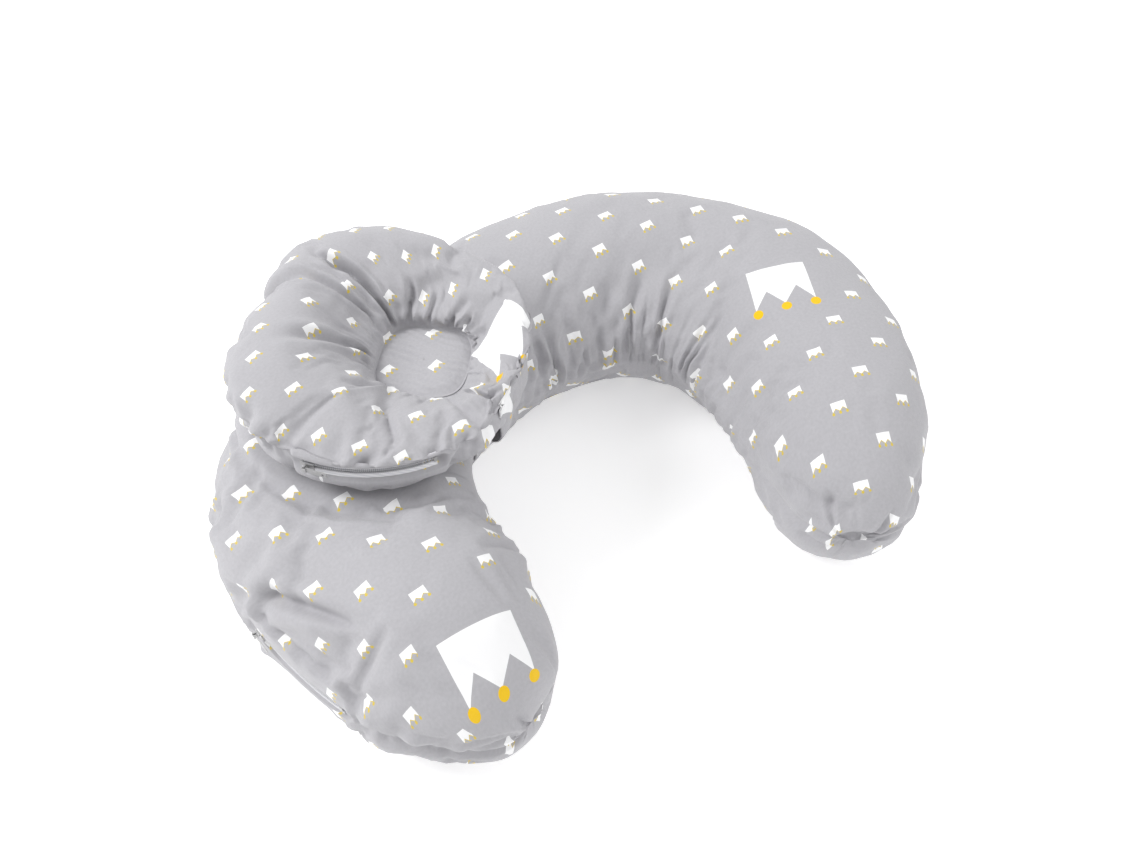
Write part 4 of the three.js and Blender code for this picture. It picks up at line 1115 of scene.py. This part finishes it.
flap = flap_grid()
flap_n = grid_normals(flap, False)
flap_n *= np.sign((flap_n * np.array([0.5, -1.0, 0.0])).sum(-1, keepdims=True))
k = np.linspace(-1, 1, FLAP_COLUMNS)[None, :]
t = np.linspace(-0.2, 1, len(flap))[:, None]
pleats = np.sin(k * 8.5 + 1.2 * waves(flap, 80, 51) + 0.6 * t) * (0.9 + 0.8 * waves(flap, 60, 52))
pleats = pleats * smooth(t / 0.12)
bow_out = 1.6 * np.sin(np.clip(t, 0, 1) * math.pi) + 1.1 * pleats * smooth((1 - t) / 0.12)
flap_inner = flap + flap_n * (0.3 + bow_out)[..., None]
flap_outer = flap_inner + flap_n * 1.1
flap_step = np.linalg.norm(np.diff(flap, axis=0), axis=-1)
flap_down = np.concatenate([np.zeros((1, FLAP_COLUMNS)), np.cumsum(flap_step, 0)])
flap_cloth = np.stack([np.broadcast_to(k * 38.0, flap_down.shape), -flap_down], -1)
strap_flap = slab_piece("strap_flap", flap_outer, flap_inner, flap_cloth, STRAP_PRINT)
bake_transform(strap_flap)

# ---------------------------------------------------------------- zips

# The coils' groove, height and depths, and the pitch of their teeth, in millimetres.
COIL_GROOVE, COIL_H, COIL_OUT, COIL_IN, STOP_LENGTH, GAP = 0.8, 1.6, 1.8, 3.8, 2.5, 0.3
COIL_PITCH = 1.5
TOOTH_SIDES, TOOTH_RINGS = 8, 4


def coil_teeth(name, centre, radius, z, start, end, side, body, node):
    """One row of a nylon coil: rounded teeth at an even pitch along the arc, each a short loop with
    an eight-sided rim, with its head towards the other row. side is 1 above the middle."""
    margin = (STOP_LENGTH + GAP) / radius * np.sign(end - start)
    count = int(abs(end - start - 2 * margin) * radius / COIL_PITCH)
    angle = np.linspace(start + margin, end - margin, count + 1)[:-1] + margin * 0.2
    angle = angle + (0.25 * COIL_PITCH / radius) * side
    ring = np.linspace(0, 2 * math.pi, TOOTH_SIDES, endpoint=False)
    # Tooth profile in depth and height, thick at the head and thin at the tape.
    depth = (COIL_OUT + COIL_IN) / 2 + (COIL_IN - COIL_OUT) / 2 * np.cos(ring)
    high = COIL_GROOVE + COIL_H / 2 + COIL_H / 2 * np.sin(ring)
    head = 0.34 + 0.16 * (np.sin(ring) < 0)
    steps = np.array([-1.0, -0.6, 0.6, 1.0])
    inset = np.array([0.72, 1.0, 1.0, 0.72])
    mid_d, mid_h = depth.mean(), high.mean()
    d = mid_d + (depth - mid_d)[None] * inset[:, None]
    h = mid_h + (high - mid_h)[None] * inset[:, None]
    shift = steps[:, None] * head[None] * 1.1 / radius
    a = angle[:, None, None] + shift[None]
    r = radius - d[None]
    height = z + side * h[None] + 0 * a
    points = np.stack([centre[0] + r * np.cos(a), centre[1] + r * np.sin(a), height], -1)
    points = points.reshape(-1, 3)
    per_tooth = TOOTH_SIDES * TOOTH_RINGS
    sides = [[k * 8 + j, k * 8 + (j + 1) % 8, (k + 1) * 8 + (j + 1) % 8, (k + 1) * 8 + j]
             for k in range(TOOTH_RINGS - 1) for j in range(TOOTH_SIDES)]
    fan = ((0, 1, 2, 3), (0, 3, 4, 5), (0, 5, 6, 7))
    first_cap = [list(c[::-1]) for c in fan]
    last_cap = [[j + per_tooth - TOOTH_SIDES for j in c] for c in fan]
    quads = np.array(sides + first_cap + last_cap)
    faces = (quads[None] + per_tooth * np.arange(count)[:, None, None]).reshape(-1, 4)
    flat = points[faces][..., :2]
    piece = make_mesh(name, points, [faces], [flat], ZIP_COIL)
    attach(piece, body)
    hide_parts(node)


def circle_through(points):
    """Centre and radius of the circle through three points, by its chords' middle lines."""
    a, b, c = points
    system = 2 * np.array([b - a, c - a])
    centre = np.linalg.solve(system, np.array([b @ b - a @ a, c @ c - a @ a]))
    return centre, float(np.linalg.norm(a - centre))


marks = np.array([MAIN_ZIP_START, (MAIN_ZIP_START + MAIN_ZIP_END) / 2, MAIN_ZIP_END])
track = pillow_surface(marks, marks * 0, marks * 0 + 1, marks * 0, 0.0)[:, :2]
track_centre, track_radius = circle_through(track)
track_turn = np.arctan2(*(track - track_centre).T[::-1]) % (2 * math.pi)
head_turns = math.radians(HEAD_ZIP_START), math.radians(HEAD_ZIP_END)
for side, word in ((1, "upper"), (-1, "lower")):
    coil_teeth(f"main_zip_teeth_{word}", track_centre, track_radius, SEAM_Z,
               track_turn[0], track_turn[2], side, "main", f"main_zip_coil_{word}")
    coil_teeth(f"head_zip_teeth_{word}", (HEAD_X, HEAD_Y), HEAD_R, HEAD_SEAM_Z,
               *head_turns, side, "head", f"head_zip_coil_{word}")
for node_name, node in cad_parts.items():
    if "_zip_" not in node_name:
        continue
    finish = ZIP_TAPE if "tape" in node_name else ZIP_METAL
    node.data.materials.clear()
    node.data.materials.append(finish)

# ---------------------------------------------------------------- floor, light and camera

def floor_plane():
    """A wide pale sheet just under the pillow, which glows faintly white: painted light that
    lightens the shadows cast on it.
    """
    mesh = bpy.data.meshes.new("floor")
    half, z = 4.0, -0.0005
    corners = [(-half, -half, z), (half, -half, z), (half, half, z), (-half, half, z)]
    mesh.from_pydata(corners, [], [(0, 1, 2, 3)])
    material, tree = new_material("white_floor_with_painted_glow")
    # The white emission is painted light: the floor glows like a lamp, washing out the pillow's
    # shadow on it and lighting the pillow from below.
    shade = add(tree, PRINCIPLED, None, {
        "Base Color": linear("#f7f7f7"), "Roughness": 0.95,
        "Emission Color": linear("#ffffff"), "Emission Strength": 0.34})
    add(tree, "ShaderNodeOutputMaterial", None, (shade,))
    mesh.materials.append(material)
    floor = bpy.data.objects.new("floor", mesh)
    bpy.context.scene.collection.objects.link(floor)


def soft_box(name, at, toward, size, power):
    """Square area light aimed at a point."""
    lamp = bpy.data.lights.new(name, "AREA")
    lamp.shape = "SQUARE"
    lamp.size = size
    lamp.energy = power
    obj = bpy.data.objects.new(name, lamp)
    obj.location = at
    way = np.array(toward, float) - np.array(at, float)
    obj.rotation_mode = "QUATERNION"
    obj.rotation_quaternion = Vector(way).to_track_quat("-Z", "Y")
    bpy.context.scene.collection.objects.link(obj)


floor_plane()
soft_box("window_light", (-1.6, 1.2, 2.2), (0, 0, 0.08), 1.3, 58)
soft_box("fill_light", (1.8, -1.4, 2.0), (0, 0, 0.08), 2.4, 24)
world = bpy.data.worlds.new("studio")
bpy.context.scene.world = world
world.use_nodes = True
background = world.node_tree.nodes["Background"]
background.inputs[0].default_value = linear("#ffffff")
background.inputs[1].default_value = 0.7
bpy.context.scene.view_settings.view_transform = "Standard"

camera_data = bpy.data.cameras.new("camera")
camera_data.lens = 33.3
camera_data.sensor_width = 36.0
camera_data.clip_start = 0.01
camera = bpy.data.objects.new("camera", camera_data)
camera.location = (-0.3195, -0.4958, 0.7919)
camera.rotation_mode = "QUATERNION"
camera.rotation_quaternion = Vector((0.3441, 0.5332, -0.7729)).to_track_quat("-Z", "Y")
bpy.context.scene.collection.objects.link(camera)
bpy.context.scene.camera = camera
